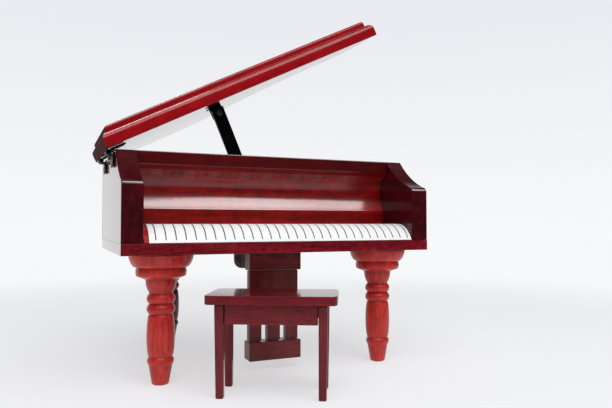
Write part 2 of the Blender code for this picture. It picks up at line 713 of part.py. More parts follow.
def leg_profile():
    """The turned leg from its dowel down to its foot."""
    top = LEG_HEIGHT - FIT_GAP
    points = [
        (0.0, top + LEG_DOWEL_LENGTH),
        (LEG_DOWEL_RADIUS, top + LEG_DOWEL_LENGTH),
        (LEG_DOWEL_RADIUS, top),
        (LEG_CAP_RADIUS, top),
    ]
    collar_seat = LEG_COLLAR_RADIUS - LEG_COLLAR_GROOVE
    for step in range(1, 5):
        turn = math.radians(90 * step / 4)
        radius = collar_seat + (LEG_CAP_RADIUS - collar_seat) * math.cos(turn)
        points.append((radius, top - LEG_CAP_HEIGHT * math.sin(turn) ** 1.3))
    collar_top = top - LEG_CAP_HEIGHT
    points += bead(collar_seat, LEG_COLLAR_RADIUS, collar_top, LEG_COLLAR_HEIGHT, 3)[1:]
    neck_top = collar_top - LEG_COLLAR_HEIGHT - LEG_NECK_FLARE
    points.append((LEG_NECK_RADIUS, neck_top))
    foot_top = LEG_FOOT_HEIGHT + LEG_ANKLE_RING_HEIGHT
    rings_top = (neck_top + foot_top) / 2 + LEG_RINGS_RISE
    points.append((LEG_NECK_RADIUS - LEG_NECK_TAPER, rings_top + LEG_NECK_FOOT))
    points += bead(LEG_GROOVE_RADIUS, LEG_RING_RADIUS, rings_top, LEG_RING_HEIGHT)
    second = rings_top - LEG_RING_HEIGHT
    points += bead(LEG_GROOVE_RADIUS, LEG_RING_RADIUS, second, LEG_RING_HEIGHT)[1:]
    vase_top = second - LEG_RING_HEIGHT
    vase_height = vase_top - foot_top
    vase = bead(LEG_ANKLE_RADIUS, LEG_VASE_RADIUS, vase_top, vase_height, 6, fullness=0.5)
    points += vase[1:]
    ring = bead(LEG_ANKLE_RADIUS, LEG_ANKLE_RING_RADIUS, foot_top, LEG_ANKLE_RING_HEIGHT)
    points += ring[1:]
    points.append((LEG_FOOT_RADIUS, LEG_FOOT_CHAMFER))
    points.append((LEG_FOOT_RADIUS - LEG_FOOT_CHAMFER, 0.0))
    points.append((0.0, 0.0))
    return points


def build_legs(frame):
    """Three turned legs with a dowel in the bottom board."""
    profile = leg_profile()
    for name, (x, y) in leg_places():
        turned(name, profile, LACQUER, frame, (x, y, 0.0), LEG_STEPS)


def build_lyre(frame):
    """The lyre: a block under the case, a slotted upright and a block near the floor."""
    left = LYRE_ASIDE - LYRE_WIDTH / 2
    right = LYRE_ASIDE + LYRE_WIDTH / 2
    block_left = left - LYRE_BLOCK_OVERHANG
    block_right = right + LYRE_BLOCK_OVERHANG
    front = LYRE_SETBACK - LYRE_BLOCK_FRONT
    back = LYRE_SETBACK + LYRE_THICKNESS
    top = LEG_HEIGHT - FIT_GAP
    top_low = top - LYRE_TOP_HEIGHT
    foot_top = LYRE_GROUND_GAP + LYRE_FOOT_HEIGHT
    head = box((block_left, front, top_low), (block_right, back + LYRE_TOP_BACK, top))
    soften(add("lyre_top_block", head, LACQUER, frame), EDGE_ROUND)
    mesh = box((left, LYRE_SETBACK, foot_top + FIT_GAP), (right, back, top_low - FIT_GAP))
    upright = add("lyre_upright", mesh, LACQUER, frame)
    spacing = LYRE_BAR_WIDTH + LYRE_SLOT_WIDTH
    radius = LYRE_SLOT_WIDTH / 2
    for side in (-1, 1):
        x = LYRE_ASIDE + side * spacing / 2
        slot_top = foot_top + LYRE_SLOT_HEIGHT - radius
        outline = joined(
            [(x - radius, LYRE_GROUND_GAP), (x + radius, LYRE_GROUND_GAP)],
            arc((x, slot_top), radius, 0, 180, 8),
        )
        cut(upright, slab(outline, "XZ", LYRE_SETBACK - MM, LYRE_THICKNESS + 2 * MM))
    soften(upright, EDGE_ROUND / 2)
    foot = box((block_left, front, LYRE_GROUND_GAP), (block_right, front + LYRE_FOOT_DEPTH, foot_top))
    soften(add("lyre_foot_block", foot, LACQUER, frame), EDGE_ROUND)


def build_lid(lid_frame):
    """The lid, modelled closed: a flat band, a hollow moulding and a rounded, raised top."""
    small = LID_EDGE_ROUND
    panel = LID_LEDGE + LID_COVE_RADIUS
    panel_low = LID_BAND + LID_COVE_RADIUS
    panel_high = panel_low + LID_PANEL_FACE
    top = (panel + LID_SHOULDER[0], panel_high + LID_SHOULDER[1])
    rings = joined(
        [(small, 0.0), (0.0, small)],
        arc((small, LID_BAND - small), small, 180, 90, 2),
        arc((LID_LEDGE, panel_low), LID_COVE_RADIUS, -90, 0, 4),
        bulge((panel, panel_high), top, LID_SHOULDER_RISE, 4),
    )
    placed = [(inset - LID_OVERHANG, LID_BOTTOM + height) for inset, height in rings]
    mesh = lofted_outline(placed, RAIL_FRONT, LID_HINGE_SIDE_REACH)
    mesh.transform(Matrix.Translation((-HINGE_X, 0.0, -HINGE_Z)))
    add("lid", mesh, LACQUER, lid_frame)


def build_hinges(frame, lid_frame):
    """Two butt hinges: one leaf on the case's side, one under the lid, and a pin."""
    third = HINGE_LENGTH / 3
    side = -HALF_WIDTH - FIT_GAP
    half_leaf = HINGE_LEAF_THICKNESS / 2
    leaf_top = HINGE_KNUCKLE_RADIUS - FACE_STEP
    web_top = HINGE_Z - half_leaf - FIT_GAP
    web_low = web_top - HINGE_LEAF_THICKNESS
    hole = HINGE_PIN_RADIUS + RUN_GAP
    for name, middle in zip(("front", "rear"), HINGE_POSITIONS):
        start = middle - HINGE_LENGTH / 2
        end = middle + HINGE_LENGTH / 2
        low = (side - HINGE_LEAF_THICKNESS, start, HINGE_Z - HINGE_LEAF_HEIGHT)
        leaf = add(f"{name}_hinge_case_leaf", box(low, (side, end, web_top)), BLACK_STEEL, frame)
        length = third - FIT_GAP - FACE_STEP
        for knuckle in (start + FACE_STEP, end - third + FIT_GAP):
            web_start = (HINGE_X, knuckle + FACE_STEP, web_low)
            web_end = (side - half_leaf, knuckle + length - FACE_STEP, web_top - FACE_STEP)
            join(leaf, box(web_start, web_end))
            centre = (HINGE_X, knuckle, HINGE_Z)
            join(leaf, rod(HINGE_KNUCKLE_RADIUS, centre, "Y", length))
        cut(leaf, rod(hole, (HINGE_X, start - MM, HINGE_Z), "Y", HINGE_LENGTH + 2 * MM))
        pin = rod(HINGE_PIN_RADIUS, (HINGE_X, start, HINGE_Z), "Y", HINGE_LENGTH)
        add(f"{name}_hinge_pin", pin, BLACK_STEEL, frame)
        plate_low = (0.0, start, leaf_top - HINGE_LEAF_THICKNESS)
        plate = box(plate_low, (HINGE_LEAF_LENGTH, end, leaf_top))
        lid_leaf = add(f"{name}_hinge_lid_leaf", plate, BLACK_STEEL, lid_frame)
        clear = HINGE_KNUCKLE_RADIUS + FIT_GAP
        for knuckle in (start - MM, end - third):
            low = (-clear, knuckle, -clear)
            cut(lid_leaf, box(low, (clear, knuckle + third + MM, clear)))
        middle_knuckle = (0.0, start + third + FACE_STEP, 0.0)
        join(lid_leaf, rod(HINGE_KNUCKLE_RADIUS, middle_knuckle, "Y", third - 2 * FACE_STEP))
        cut(lid_leaf, rod(hole, (0.0, start - MM, 0.0), "Y", HINGE_LENGTH + 2 * MM))


def prop_pivot():
    """The prop's pivot in the lid's own frame."""
    underside = LID_BOTTOM - HINGE_Z
    return Vector((PROP_ALONG_LID, PROP_Y, underside - PROP_PIVOT_DROP))


def build_prop_bracket(lid_frame):
    """The bracket behind the bar, screwed under the lid, and the pin that the bar turns on."""
    pivot = prop_pivot()
    half_bar = PROP_THICKNESS / 2
    half_width = PROP_WIDTH / 2
    base_top = LID_BOTTOM - HINGE_Z - FIT_GAP
    base_low = base_top - PROP_BASE_THICKNESS
    ear_front = PROP_Y + half_bar + FIT_GAP
    base_front = ear_front + FACE_STEP
    base = box(
        (pivot.x - half_width, base_front, base_low),
        (pivot.x + half_width, base_front + PROP_BASE_DEPTH, base_top),
    )
    bracket = add("prop_bracket", base, BLACK_STEEL, lid_frame)
    ear_top = (base_low + base_top) / 2
    ear = joined(
        [(pivot.x + PROP_EAR_RADIUS, ear_top), (pivot.x - PROP_EAR_RADIUS, ear_top)],
        arc((pivot.x, pivot.z), PROP_EAR_RADIUS, 180, 360, 10),
    )
    join(bracket, slab(ear, "XZ", ear_front, PROP_EAR_THICKNESS))
    hole_start = (pivot.x, ear_front - MM, pivot.z)
    cut(bracket, rod(PROP_PIN_RADIUS + RUN_GAP, hole_start, "Y", PROP_EAR_THICKNESS + 2 * MM))
    start = PROP_Y - half_bar - FIT_GAP - PROP_PIN_HEAD
    length = ear_front + PROP_EAR_THICKNESS + PROP_PIN_END - start
    shank = rod(PROP_PIN_RADIUS, (pivot.x, start, pivot.z), "Y", length)
    pin = add("prop_pin", shank, STEEL, lid_frame)
    join(pin, rod(2 * PROP_PIN_RADIUS, (pivot.x, start, pivot.z), "Y", PROP_PIN_HEAD))


def build_prop(frame, prop_frame):
    """The flat bar of the prop, and the rubber pad that its foot stands on."""
    half_bar = PROP_THICKNESS / 2
    pad_top = SEAT + PROP_PAD_HEIGHT
    turn = Matrix.Rotation(math.radians(-LID_OPEN_ANGLE), 3, "Y")
    standing = Vector((HINGE_X, 0.0, HINGE_Z)) + turn @ prop_pivot()
    lean = math.radians(PROP_LEAN)
    length = (standing.z - pad_top - FIT_GAP) / math.cos(lean)
    half = PROP_WIDTH / 2
    skew = half * math.tan(lean)
    corner = PROP_HEAD_ROUND - PROP_HEAD_REACH
    outline = joined(
        arc((corner, half - PROP_HEAD_ROUND), PROP_HEAD_ROUND, 90, 180, 3),
        arc((corner, PROP_HEAD_ROUND - half), PROP_HEAD_ROUND, 180, 270, 3),
        [(length - skew, -half), (length + skew, half)],
    )
    bar = add("prop_bar", slab(outline, "XZ", -half_bar, PROP_THICKNESS), BLACK_STEEL, prop_frame)
    hole_start = (0.0, -PROP_THICKNESS, 0.0)
    cut(bar, rod(PROP_PIN_RADIUS + RUN_GAP, hole_start, "Y", 2 * PROP_THICKNESS))
    foot_x = standing.x + length * math.sin(lean)
    half_pad = PROP_PAD_LENGTH / 2
    pad_low = (foot_x - half_pad, RAIL_BACK + FIT_GAP, SEAT)
    pad_high = (foot_x + half_pad, PROP_Y + half_bar + PROP_PAD_MARGIN, pad_top)
    soften(add("prop_pad", box(pad_low, pad_high), RUBBER, frame), EDGE_ROUND)


def gear_outline(teeth, module, phase, thin=0.86):
    """A spur gear's outline: straight-sided teeth, thinned a little for backlash."""
    pitch_radius = teeth * module / 2
    tip = pitch_radius + ADDENDUM * module
    root = pitch_radius - DEDENDUM * module
    pitch_turn = 360.0 / teeth
    points = []
    for tooth in range(teeth):
        middle = phase + tooth * pitch_turn
        for share, radius in ((-0.30, root), (-0.13, tip), (0.13, tip), (0.30, root)):
            angle = math.radians(middle + share * thin * pitch_turn)
            points.append((radius * math.cos(angle), radius * math.sin(angle)))
    return points


def build_plate(movement):
    """The cast plate, with two bearing posts and the block that the comb is screwed to."""
    mesh = box((PLATE_LEFT, PLATE_FRONT, SEAT), (PLATE_RIGHT, PLATE_BACK, PLATE_TOP))
    plate = add("movement_plate", mesh, ZINC, movement)
    base = PLATE_TOP - PLATE_THICKNESS / 2
    right_post = joined(
        [(-POST_HALF_WIDTH, base), (POST_HALF_WIDTH, base)],
        arc((0.0, CYLINDER_Z), POST_TOP_RADIUS, 0, 180, 8),
    )
    join(plate, slab(right_post, "YZ", POST_X - POST_THICKNESS, POST_THICKNESS))
    left_post = joined(
        [(GOVERNOR_Y - GOVERNOR_POST_FRONT, base), (POST_HALF_WIDTH, base)],
        arc((0.0, CYLINDER_Z), POST_TOP_RADIUS, 0, 90, 4),
        arc((GOVERNOR_Y, CYLINDER_Z), GOVERNOR_POST_RADIUS, 90, 180, 4),
    )
    join(plate, slab(left_post, "YZ", LEFT_POST_FACE, POST_THICKNESS))
    seat_top = CYLINDER_Z - COMB_THICKNESS / 2 - FIT_GAP
    seat_back = PLATE_BACK - FACE_STEP
    join(plate, box((COMB_LEFT, COMB_ROOT, base), (COMB_LEFT + COMB_WIDTH, seat_back, seat_top)))
    start = LEFT_POST_FACE - POST_THICKNESS
    cut(plate, rod(CYLINDER_ARBOR_RADIUS + RUN_GAP, (start, 0.0, CYLINDER_Z), "X", POST_X + MM - start))
    small_start = (start, GOVERNOR_Y, CYLINDER_Z)
    cut(plate, rod(GOVERNOR_ARBOR_RADIUS + RUN_GAP, small_start, "X", 3 * POST_THICKNESS))
    arbor_start = (0.0, 0.0, SEAT - MM)
    cut(plate, rod(ARBOR_RADIUS + RUN_GAP, arbor_start, "Z", PLATE_THICKNESS + 2 * MM))


def build_comb(movement):
    """The tuned comb, its teeth towards the cylinder."""
    points = []
    for tooth in range(COMB_TEETH):
        left = COMB_LEFT + tooth * COMB_PITCH + COMB_SLIT / 2
        right = left + COMB_PITCH - COMB_SLIT
        points += [(left, COMB_ROOT), (left, COMB_TIP), (right, COMB_TIP), (right, COMB_ROOT)]
    points[0] = (COMB_LEFT, COMB_ROOT)
    points[1] = (COMB_LEFT, COMB_TIP)
    outline = points + [(points[-1][0], COMB_BACK), (COMB_LEFT, COMB_BACK)]
    low = CYLINDER_Z - COMB_THICKNESS / 2
    add("comb", slab(outline, "XY", low, COMB_THICKNESS), STEEL, movement)


def build_barrel(movement):
    """The spring barrel over the arbor, and the mainspring coiled inside it."""
    low = PLATE_TOP + FIT_GAP
    hole = ARBOR_RADIUS + RUN_GAP
    inner = BARREL_RADIUS - BARREL_WALL
    roof = BARREL_TOP - BARREL_WALL
    profile = [
        (hole, BARREL_TOP),
        (BARREL_RADIUS - BARREL_CHAMFER, BARREL_TOP),
        (BARREL_RADIUS, BARREL_TOP - BARREL_CHAMFER),
        (BARREL_RADIUS, low),
        (inner, low),
        (inner, roof),
        (hole, roof),
    ]
    turned("spring_barrel", profile, BRASS, movement, (0.0, 0.0, 0.0), ROUND_STEPS, closed=True)
    start = ARBOR_RADIUS + FIT_GAP + SPRING_THICKNESS
    end = inner - FIT_GAP - SPRING_THICKNESS
    steps = SPRING_TURNS * 16
    coil = []
    for step in range(steps + 1):
        share = step / steps
        angle = math.tau * SPRING_TURNS * share
        radius = start + (end - start) * share
        coil.append((radius * math.cos(angle), radius * math.sin(angle)))
    spring = add("mainspring", ribbon(coil, low + FIT_GAP, SPRING_HEIGHT), SPRING_STEEL, movement)
    thicken(spring, SPRING_THICKNESS)


def crown_teeth():
    """The upright teeth of the crown wheel: tapered blocks in a ring."""
    work = bmesh.new()
    sink = 2 * FACE_STEP
    height = (ADDENDUM + DEDENDUM) * CROWN_MODULE + sink
    size = (CROWN_FACE_WIDTH - sink, CROWN_TOOTH_SHARE * math.pi * CROWN_MODULE, height)
    centre = (CROWN_RADIUS, 0.0, CROWN_TOP - sink + height / 2)
    for tooth in range(CROWN_TEETH):
        made = bmesh.ops.create_cube(work, size=1.0)["verts"]
        bmesh.ops.scale(work, vec=size, verts=made)
        upper = [vert for vert in made if vert.co.z > 0]
        bmesh.ops.scale(work, vec=(1.0, CROWN_TIP_SHARE, 1.0), verts=upper)
        bmesh.ops.translate(work, vec=centre, verts=made)
        turn = Matrix.Rotation(math.tau * tooth / CROWN_TEETH, 3, "Z")
        bmesh.ops.rotate(work, cent=(0.0, 0.0, 0.0), matrix=turn, verts=made)
    return to_mesh(work, "crown teeth")


def build_winding(winding):
    """The winding arbor and its crown wheel, which drives the cylinder's pinion."""
    arbor_low = LEG_HEIGHT - WINDER_BOARD_GAP - WINDER_SOCKET
    length = CROWN_TOP + ARBOR_STUB - arbor_low
    mesh = rod(ARBOR_RADIUS, (0.0, 0.0, arbor_low), "Z", length, ROUND_STEPS)
    add("winding_arbor", mesh, STEEL, winding)
    disc_low = BARREL_TOP + FIT_GAP
    disc = rod(CROWN_REACH, (0.0, 0.0, disc_low), "Z", CROWN_DISC_THICKNESS, 2 * CROWN_TEETH)
    crown = add("crown_wheel", disc, BRASS, winding)
    join(crown, crown_teeth())
    hole_start = (0.0, 0.0, disc_low - MM)
    hole_length = CROWN_DISC_THICKNESS + 2 * MM
    cut(crown, rod(ARBOR_RADIUS + RUN_GAP, hole_start, "Z", hole_length, ROUND_STEPS))


def build_winder(winding):
    """The winged key on the winding arbor, under the case."""
    top = LEG_HEIGHT - WINDER_BOARD_GAP
    start = (0.0, 0.0, top - WINDER_BOSS_LENGTH)
    boss = rod(WINDER_BOSS_RADIUS, start, "Z", WINDER_BOSS_LENGTH, ROUND_STEPS)
    winder = add("winding_key", boss, NICKEL, winding)
    high = top - WINDER_WING_DROP - WINDER_TOP_CORNER
    low = top - WINDER_WING_DROP - WINDER_WING_HEIGHT + WINDER_LOW_CORNER
    high_x = WINDER_SPAN / 2 - WINDER_TOP_CORNER
    low_x = WINDER_SPAN / 2 - WINDER_LOW_CORNER
    wings = joined(
        arc((high_x, high), WINDER_TOP_CORNER, 0, 90, 3),
        arc((-high_x, high), WINDER_TOP_CORNER, 90, 180, 3),
        arc((-low_x, low), WINDER_LOW_CORNER, 180, 270, 6),
        arc((low_x, low), WINDER_LOW_CORNER, 270, 360, 6),
    )
    join(winder, slab(wings, "XZ", -WINDER_THICKNESS / 2, WINDER_THICKNESS))
    socket_start = (0.0, 0.0, top - WINDER_SOCKET - FIT_GAP)
    cut(winder, rod(ARBOR_RADIUS + RUN_GAP, socket_start, "Z", WINDER_BOSS_LENGTH, ROUND_STEPS))


def build_cylinder(cylinder):
    """The pinned cylinder on its arbor, which carries the pinion and the train's wheel."""
    pinion_left = -CROWN_REACH
    left = LEFT_POST_FACE - 2 * FIT_GAP
    right = pinion_left + CROWN_FACE_WIDTH + CYLINDER_ARBOR_STUB
    mesh = rod(CYLINDER_ARBOR_RADIUS, (left, 0.0, 0.0), "X", right - left)
    arbor = add("cylinder_arbor", mesh, STEEL, cylinder)
    half_tooth = 180.0 / DRIVE_PINION_TEETH
    leaves = gear_outline(DRIVE_PINION_TEETH, CROWN_MODULE, -90 + half_tooth)
    join(arbor, slab(leaves, "YZ", pinion_left, CROWN_FACE_WIDTH))
    bore = CYLINDER_ARBOR_RADIUS + RUN_GAP
    drum_left = CYLINDER_X - CYLINDER_LENGTH
    mesh = rod(CYLINDER_RADIUS, (drum_left, 0.0, 0.0), "X", CYLINDER_LENGTH, 32)
    drum = add("pinned_cylinder", mesh, BRASS, cylinder)
    cut(drum, rod(bore, (drum_left - MM, 0.0, 0.0), "X", CYLINDER_LENGTH + 2 * MM))
    outline = gear_outline(CYLINDER_WHEEL_TEETH, TRAIN_MODULE, 180)
    wheel_left = CYLINDER_WHEEL_X - WHEEL_THICKNESS
    wheel = add("cylinder_wheel", slab(outline, "YZ", wheel_left, WHEEL_THICKNESS), BRASS, cylinder)
    cut(wheel, rod(bore, (wheel_left - MM, 0.0, 0.0), "X", WHEEL_THICKNESS + 2 * MM))


def build_governor(governor):
    """The governor's first arbor: a pinion driven by the cylinder, and the worm wheel."""
    left = FRAME_X - FRAME_WALL
    right = CYLINDER_WHEEL_X + FIT_GAP
    arbor_mesh = rod(GOVERNOR_ARBOR_RADIUS, (left, 0.0, 0.0), "X", right - left)
    arbor = add("governor_arbor", arbor_mesh, STEEL, governor)
    leaves = gear_outline(GOVERNOR_PINION_TEETH, TRAIN_MODULE, 180.0 / GOVERNOR_PINION_TEETH)
    pinion_left = CYLINDER_WHEEL_X - WHEEL_THICKNESS - FACE_STEP
    join(arbor, slab(leaves, "YZ", pinion_left, WHEEL_THICKNESS + 2 * FACE_STEP))
    half_tooth = 180.0 / WORM_WHEEL_TEETH
    outline = gear_outline(WORM_WHEEL_TEETH, WORM_MODULE, half_tooth, WORM_TOOTH_THINNING)
    wheel_left = WORM_X - WORM_WHEEL_THICKNESS / 2
    mesh = slab(outline, "YZ", wheel_left, WORM_WHEEL_THICKNESS)
    wheel = add("worm_wheel", mesh, PLASTIC, governor)
    bore = GOVERNOR_ARBOR_RADIUS + RUN_GAP
    cut(wheel, rod(bore, (wheel_left - MM, 0.0, 0.0), "X", WORM_WHEEL_THICKNESS + 2 * MM))


def worm_thread(pitch):
    """The worm's thread: a wire wound round its core."""
    steps = WORM_TURNS * 14
    helix = []
    for step in range(steps + 1):
        turns = WORM_TURNS * (step / steps - 0.5)
        angle = math.tau * (turns - 0.25)
        x = WORM_HELIX_RADIUS * math.cos(angle)
        y = WORM_HELIX_RADIUS * math.sin(angle)
        helix.append((x, y, pitch * turns))
    guide = spline_object(helix, closed=False)
    guide.data.dimensions = "3D"
    guide.data.bevel_depth = WORM_THREAD_RADIUS
    guide.data.bevel_resolution = 1
    guide.data.use_fill_caps = True
    return to_mesh(curve_mesh(guide), "worm thread")


def build_fan(worm):
    """The worm with its upright arbor, and the fan that brakes it in the air."""
    low = PLATE_TOP + FIT_GAP + FRAME_WALL / 2 - CYLINDER_Z
    high = FAN_TOP - CYLINDER_Z
    shaft = rod(GOVERNOR_ARBOR_RADIUS, (0.0, 0.0, low), "Z", high - low)
    arbor = add("worm_arbor", shaft, STEEL, worm)
    pitch = math.pi * WORM_MODULE
    half = WORM_TURNS * pitch / 2 + WORM_SHOULDER
    join(arbor, rod(WORM_CORE_RADIUS, (0.0, 0.0, -half), "Z", 2 * half))
    join(arbor, worm_thread(pitch))

    fan_low = FAN_BASE - CYLINDER_Z
    hub = add("fan", rod(FAN_HUB_RADIUS, (0.0, 0.0, fan_low), "Z", FAN_HEIGHT), PLASTIC, worm)
    thin = FAN_BLADE_THICKNESS / 2
    blade_low = (-FAN_RADIUS, -thin, fan_low + FAN_BLADE_INSET)
    join(hub, box(blade_low, (FAN_RADIUS, thin, high - FAN_BLADE_INSET)))
    hole_start = (0.0, 0.0, fan_low - MM)
    cut(hub, rod(GOVERNOR_ARBOR_RADIUS + RUN_GAP, hole_start, "Z", FAN_HEIGHT + 2 * MM))


def build_governor_frame(movement):
    """The bracket that carries both governor arbors and guides the brake rod."""
    low = PLATE_TOP + FIT_GAP
    left = FRAME_X - FRAME_WALL
    right = LEFT_POST_FACE - FRAME_POST_GAP
    front = GOVERNOR_Y - FRAME_FRONT
    shelf_front = WORM_Y - FRAME_SHELF_HALF
    shelf_back = WORM_Y + FRAME_SHELF_HALF
    shoulder = CYLINDER_Z + FRAME_SHOULDER
    top = GUIDE_BASE + FRAME_WALL
    outline = [
        (front, low),
        (shelf_back, low),
        (shelf_back, top),
        (shelf_front, top),
        (shelf_front, shoulder),
        (front, shoulder),
    ]
    frame = add("governor_frame", slab(outline, "YZ", left, FRAME_WALL), ZINC, movement)
    bearing = FAN_BASE - FIT_GAP - FRAME_WALL
    shelf_left = FRAME_X - FRAME_WALL / 2
    for base in (low, bearing, GUIDE_BASE):
        join(frame, box((shelf_left, shelf_front, base), (right, shelf_back, base + FRAME_WALL)))
    radius = GOVERNOR_ARBOR_RADIUS + RUN_GAP
    cut(frame, rod(radius, (left - MM, GOVERNOR_Y, CYLINDER_Z), "X", FRAME_WALL + 2 * MM))
    seat = low + FRAME_WALL / 2 - RUN_GAP
    cut(frame, rod(radius, (WORM_X, WORM_Y, seat), "Z", FAN_BASE - seat))
    guide_start = (WORM_X, WORM_Y, GUIDE_BASE - MM)
    cut(frame, rod(BRAKE_ROD_RADIUS + RUN_GAP, guide_start, "Z", FRAME_WALL + 2 * MM))


def build_brake(brake):
    """The brake rod: the closing lid presses it down on the fan's hub."""
    top = CASE_TOP - FIT_GAP + BRAKE_TRAVEL
    mesh = rod(BRAKE_ROD_RADIUS, (0.0, 0.0, BRAKE_LOW), "Z", top - BRAKE_LOW)
    made = add("brake_rod", mesh, STEEL, brake)
    foot_radius, foot_height = BRAKE_FOOT
    join(made, rod(foot_radius, (0.0, 0.0, BRAKE_LOW), "Z", foot_height))
    head_radius, head_height = BRAKE_HEAD
    join(made, rod(head_radius, (0.0, 0.0, top - head_height), "Z", head_height))


def rounded_rectangle(half_x, half_y, radius, steps):
    """A rectangle with round corners about the origin."""
    points = []
    corners = ((1, 1, 0), (-1, 1, 90), (-1, -1, 180), (1, -1, 270))
    for side_x, side_y, start in corners:
        centre = (side_x * (half_x - radius), side_y * (half_y - radius))
        points += arc(centre, radius, start, start + 90, steps)
    return points


def bench_leg(height, side_x, side_y):
    """A square leg whose two outer faces taper, about the middle of its top."""
    work = bmesh.new()
    bmesh.ops.create_cone(
        work,
        cap_ends=True,
        segments=4,
        radius1=BENCH_LEG_FOOT / math.sqrt(2),
        radius2=BENCH_LEG_TOP / math.sqrt(2),
        depth=height,
    )
    turn = Matrix.Rotation(math.radians(45), 3, "Z")
    bmesh.ops.rotate(work, cent=(0.0, 0.0, 0.0), matrix=turn, verts=work.verts)
    foot = [vert for vert in work.verts if vert.co.z < 0]
    shift = (BENCH_LEG_TOP - BENCH_LEG_FOOT) / 2
    bmesh.ops.translate(work, vec=(-side_x * shift, -side_y * shift, 0.0), verts=foot)
    bmesh.ops.translate(work, vec=(0.0, 0.0, height / 2), verts=work.verts)
    return to_mesh(work, "bench leg")


def build_bench(bench):
    """The bench: a rounded seat on tapered legs, with an apron on each side."""
    seat_x, seat_y, seat_z = BENCH_SEAT
    outline = rounded_rectangle(seat_x / 2, seat_y / 2, BENCH_SEAT_CORNER, 4)
    seat_low = BENCH_HEIGHT - seat_z
    seat = add("bench_seat", slab(outline, "XY", seat_low, seat_z), LACQUER, bench)
    soften(seat, BENCH_SEAT_ROUND, 2)
    leg_top = seat_low - FIT_GAP
    half_x = seat_x / 2 - BENCH_LEG_INSET[0]
    half_y = seat_y / 2 - BENCH_LEG_INSET[1]
    for end, side_x in (("left", -1), ("right", 1)):
        for row, side_y in (("front", -1), ("back", 1)):
            mesh = bench_leg(leg_top, side_x, side_y)
            place = (side_x * half_x, side_y * half_y, 0.0)
            soften(add(f"bench_{row}_{end}_leg", mesh, LACQUER, bench, place), BENCH_LEG_ROUND)
    clear = BENCH_LEG_TOP / 2 + FIT_GAP
    half_apron = BENCH_APRON_THICKNESS / 2
    low = leg_top - BENCH_APRON_HEIGHT
    for row, side in (("front", -1), ("back", 1)):
        y = side * half_y
        corner = (-half_x + clear, y - half_apron, low)
        mesh = box(corner, (half_x - clear, y + half_apron, leg_top))
        soften(add(f"bench_{row}_apron", mesh, LACQUER, bench), BENCH_APRON_ROUND)
    for end, side in (("left", -1), ("right", 1)):
        x = side * half_x
        corner = (x - half_apron, -half_y + clear, low)
        mesh = box(corner, (x + half_apron, half_y - clear, leg_top))
        soften(add(f"bench_{end}_apron", mesh, LACQUER, bench), BENCH_APRON_ROUND)


def stand_on_origin(frame):
    """Move the whole model so that the origin is under the middle of its bounding box."""
    bpy.context.view_layer.update()
    graph = bpy.context.evaluated_depsgraph_get()
    corners = []
    for piece in PARTS.objects:
        if piece.type != "MESH":
            continue
        seen = piece.evaluated_get(graph)
        for vertex in seen.data.vertices:
            corners.append(seen.matrix_world @ vertex.co)
    low = [min(corner[axis] for corner in corners) for axis in range(3)]
    high = [max(corner[axis] for corner in corners) for axis in range(3)]
    frame.location = (-(low[0] + high[0]) / 2, -(low[1] + high[1]) / 2, -low[2])


def main():
    """Build the piano and its bench."""
    frame = empty("piano_frame", (0.0, 0.0, 0.0))
    open_turn = (0.0, math.radians(-LID_OPEN_ANGLE), 0.0)
    lid_frame = empty("lid_axis", (HINGE_X, 0.0, HINGE_Z), frame, open_turn)
    prop_turn = (0.0, math.radians(LID_OPEN_ANGLE + 90 - PROP_LEAN), 0.0)
    prop_frame = empty("prop_axis", prop_pivot(), lid_frame, prop_turn)
    movement = empty("movement_origin", (MOVEMENT_X, MOVEMENT_SETBACK, 0.0), frame)
    winding = empty("winding_axis", (0.0, 0.0, 0.0), movement)
    cylinder = empty("cylinder_axis", (0.0, 0.0, CYLINDER_Z), movement)
    governor = empty("governor_axis", (0.0, GOVERNOR_Y, CYLINDER_Z), movement)
    worm = empty("worm_axis", (WORM_X, WORM_Y, CYLINDER_Z), movement)
    brake = empty("brake_axis", (WORM_X, WORM_Y, 0.0), movement)
    bench_turn = (0.0, 0.0, math.radians(BENCH_TURN))
    bench = empty("bench_origin", (*BENCH_PLACE, 0.0), frame, bench_turn)

    build_bottom_board(frame)
    build_sides(frame)
    build_rim(frame)
    build_fallboard(frame)
    build_keyboard(frame)
    build_legs(frame)
    build_lyre(frame)
    build_lid(lid_frame)
    build_hinges(frame, lid_frame)
    build_prop_bracket(lid_frame)
    build_prop(frame, prop_frame)
    build_plate(movement)
    build_comb(movement)
    build_barrel(movement)
    build_winding(winding)
    build_winder(winding)
    build_cylinder(cylinder)
    build_governor(governor)
    build_fan(worm)
    build_governor_frame(movement)
    build_brake(brake)
    build_bench(bench)
    stand_on_origin(frame)


main()
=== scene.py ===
# Looks of a miniature grand piano in red lacquered wood and its bench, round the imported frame.
# Lengths are in metres. +X runs to the treble side, +Y from the keys to the tail, +Z up.

import json
import math
import random

import bmesh
import bpy
from mathutils import Matrix, Vector


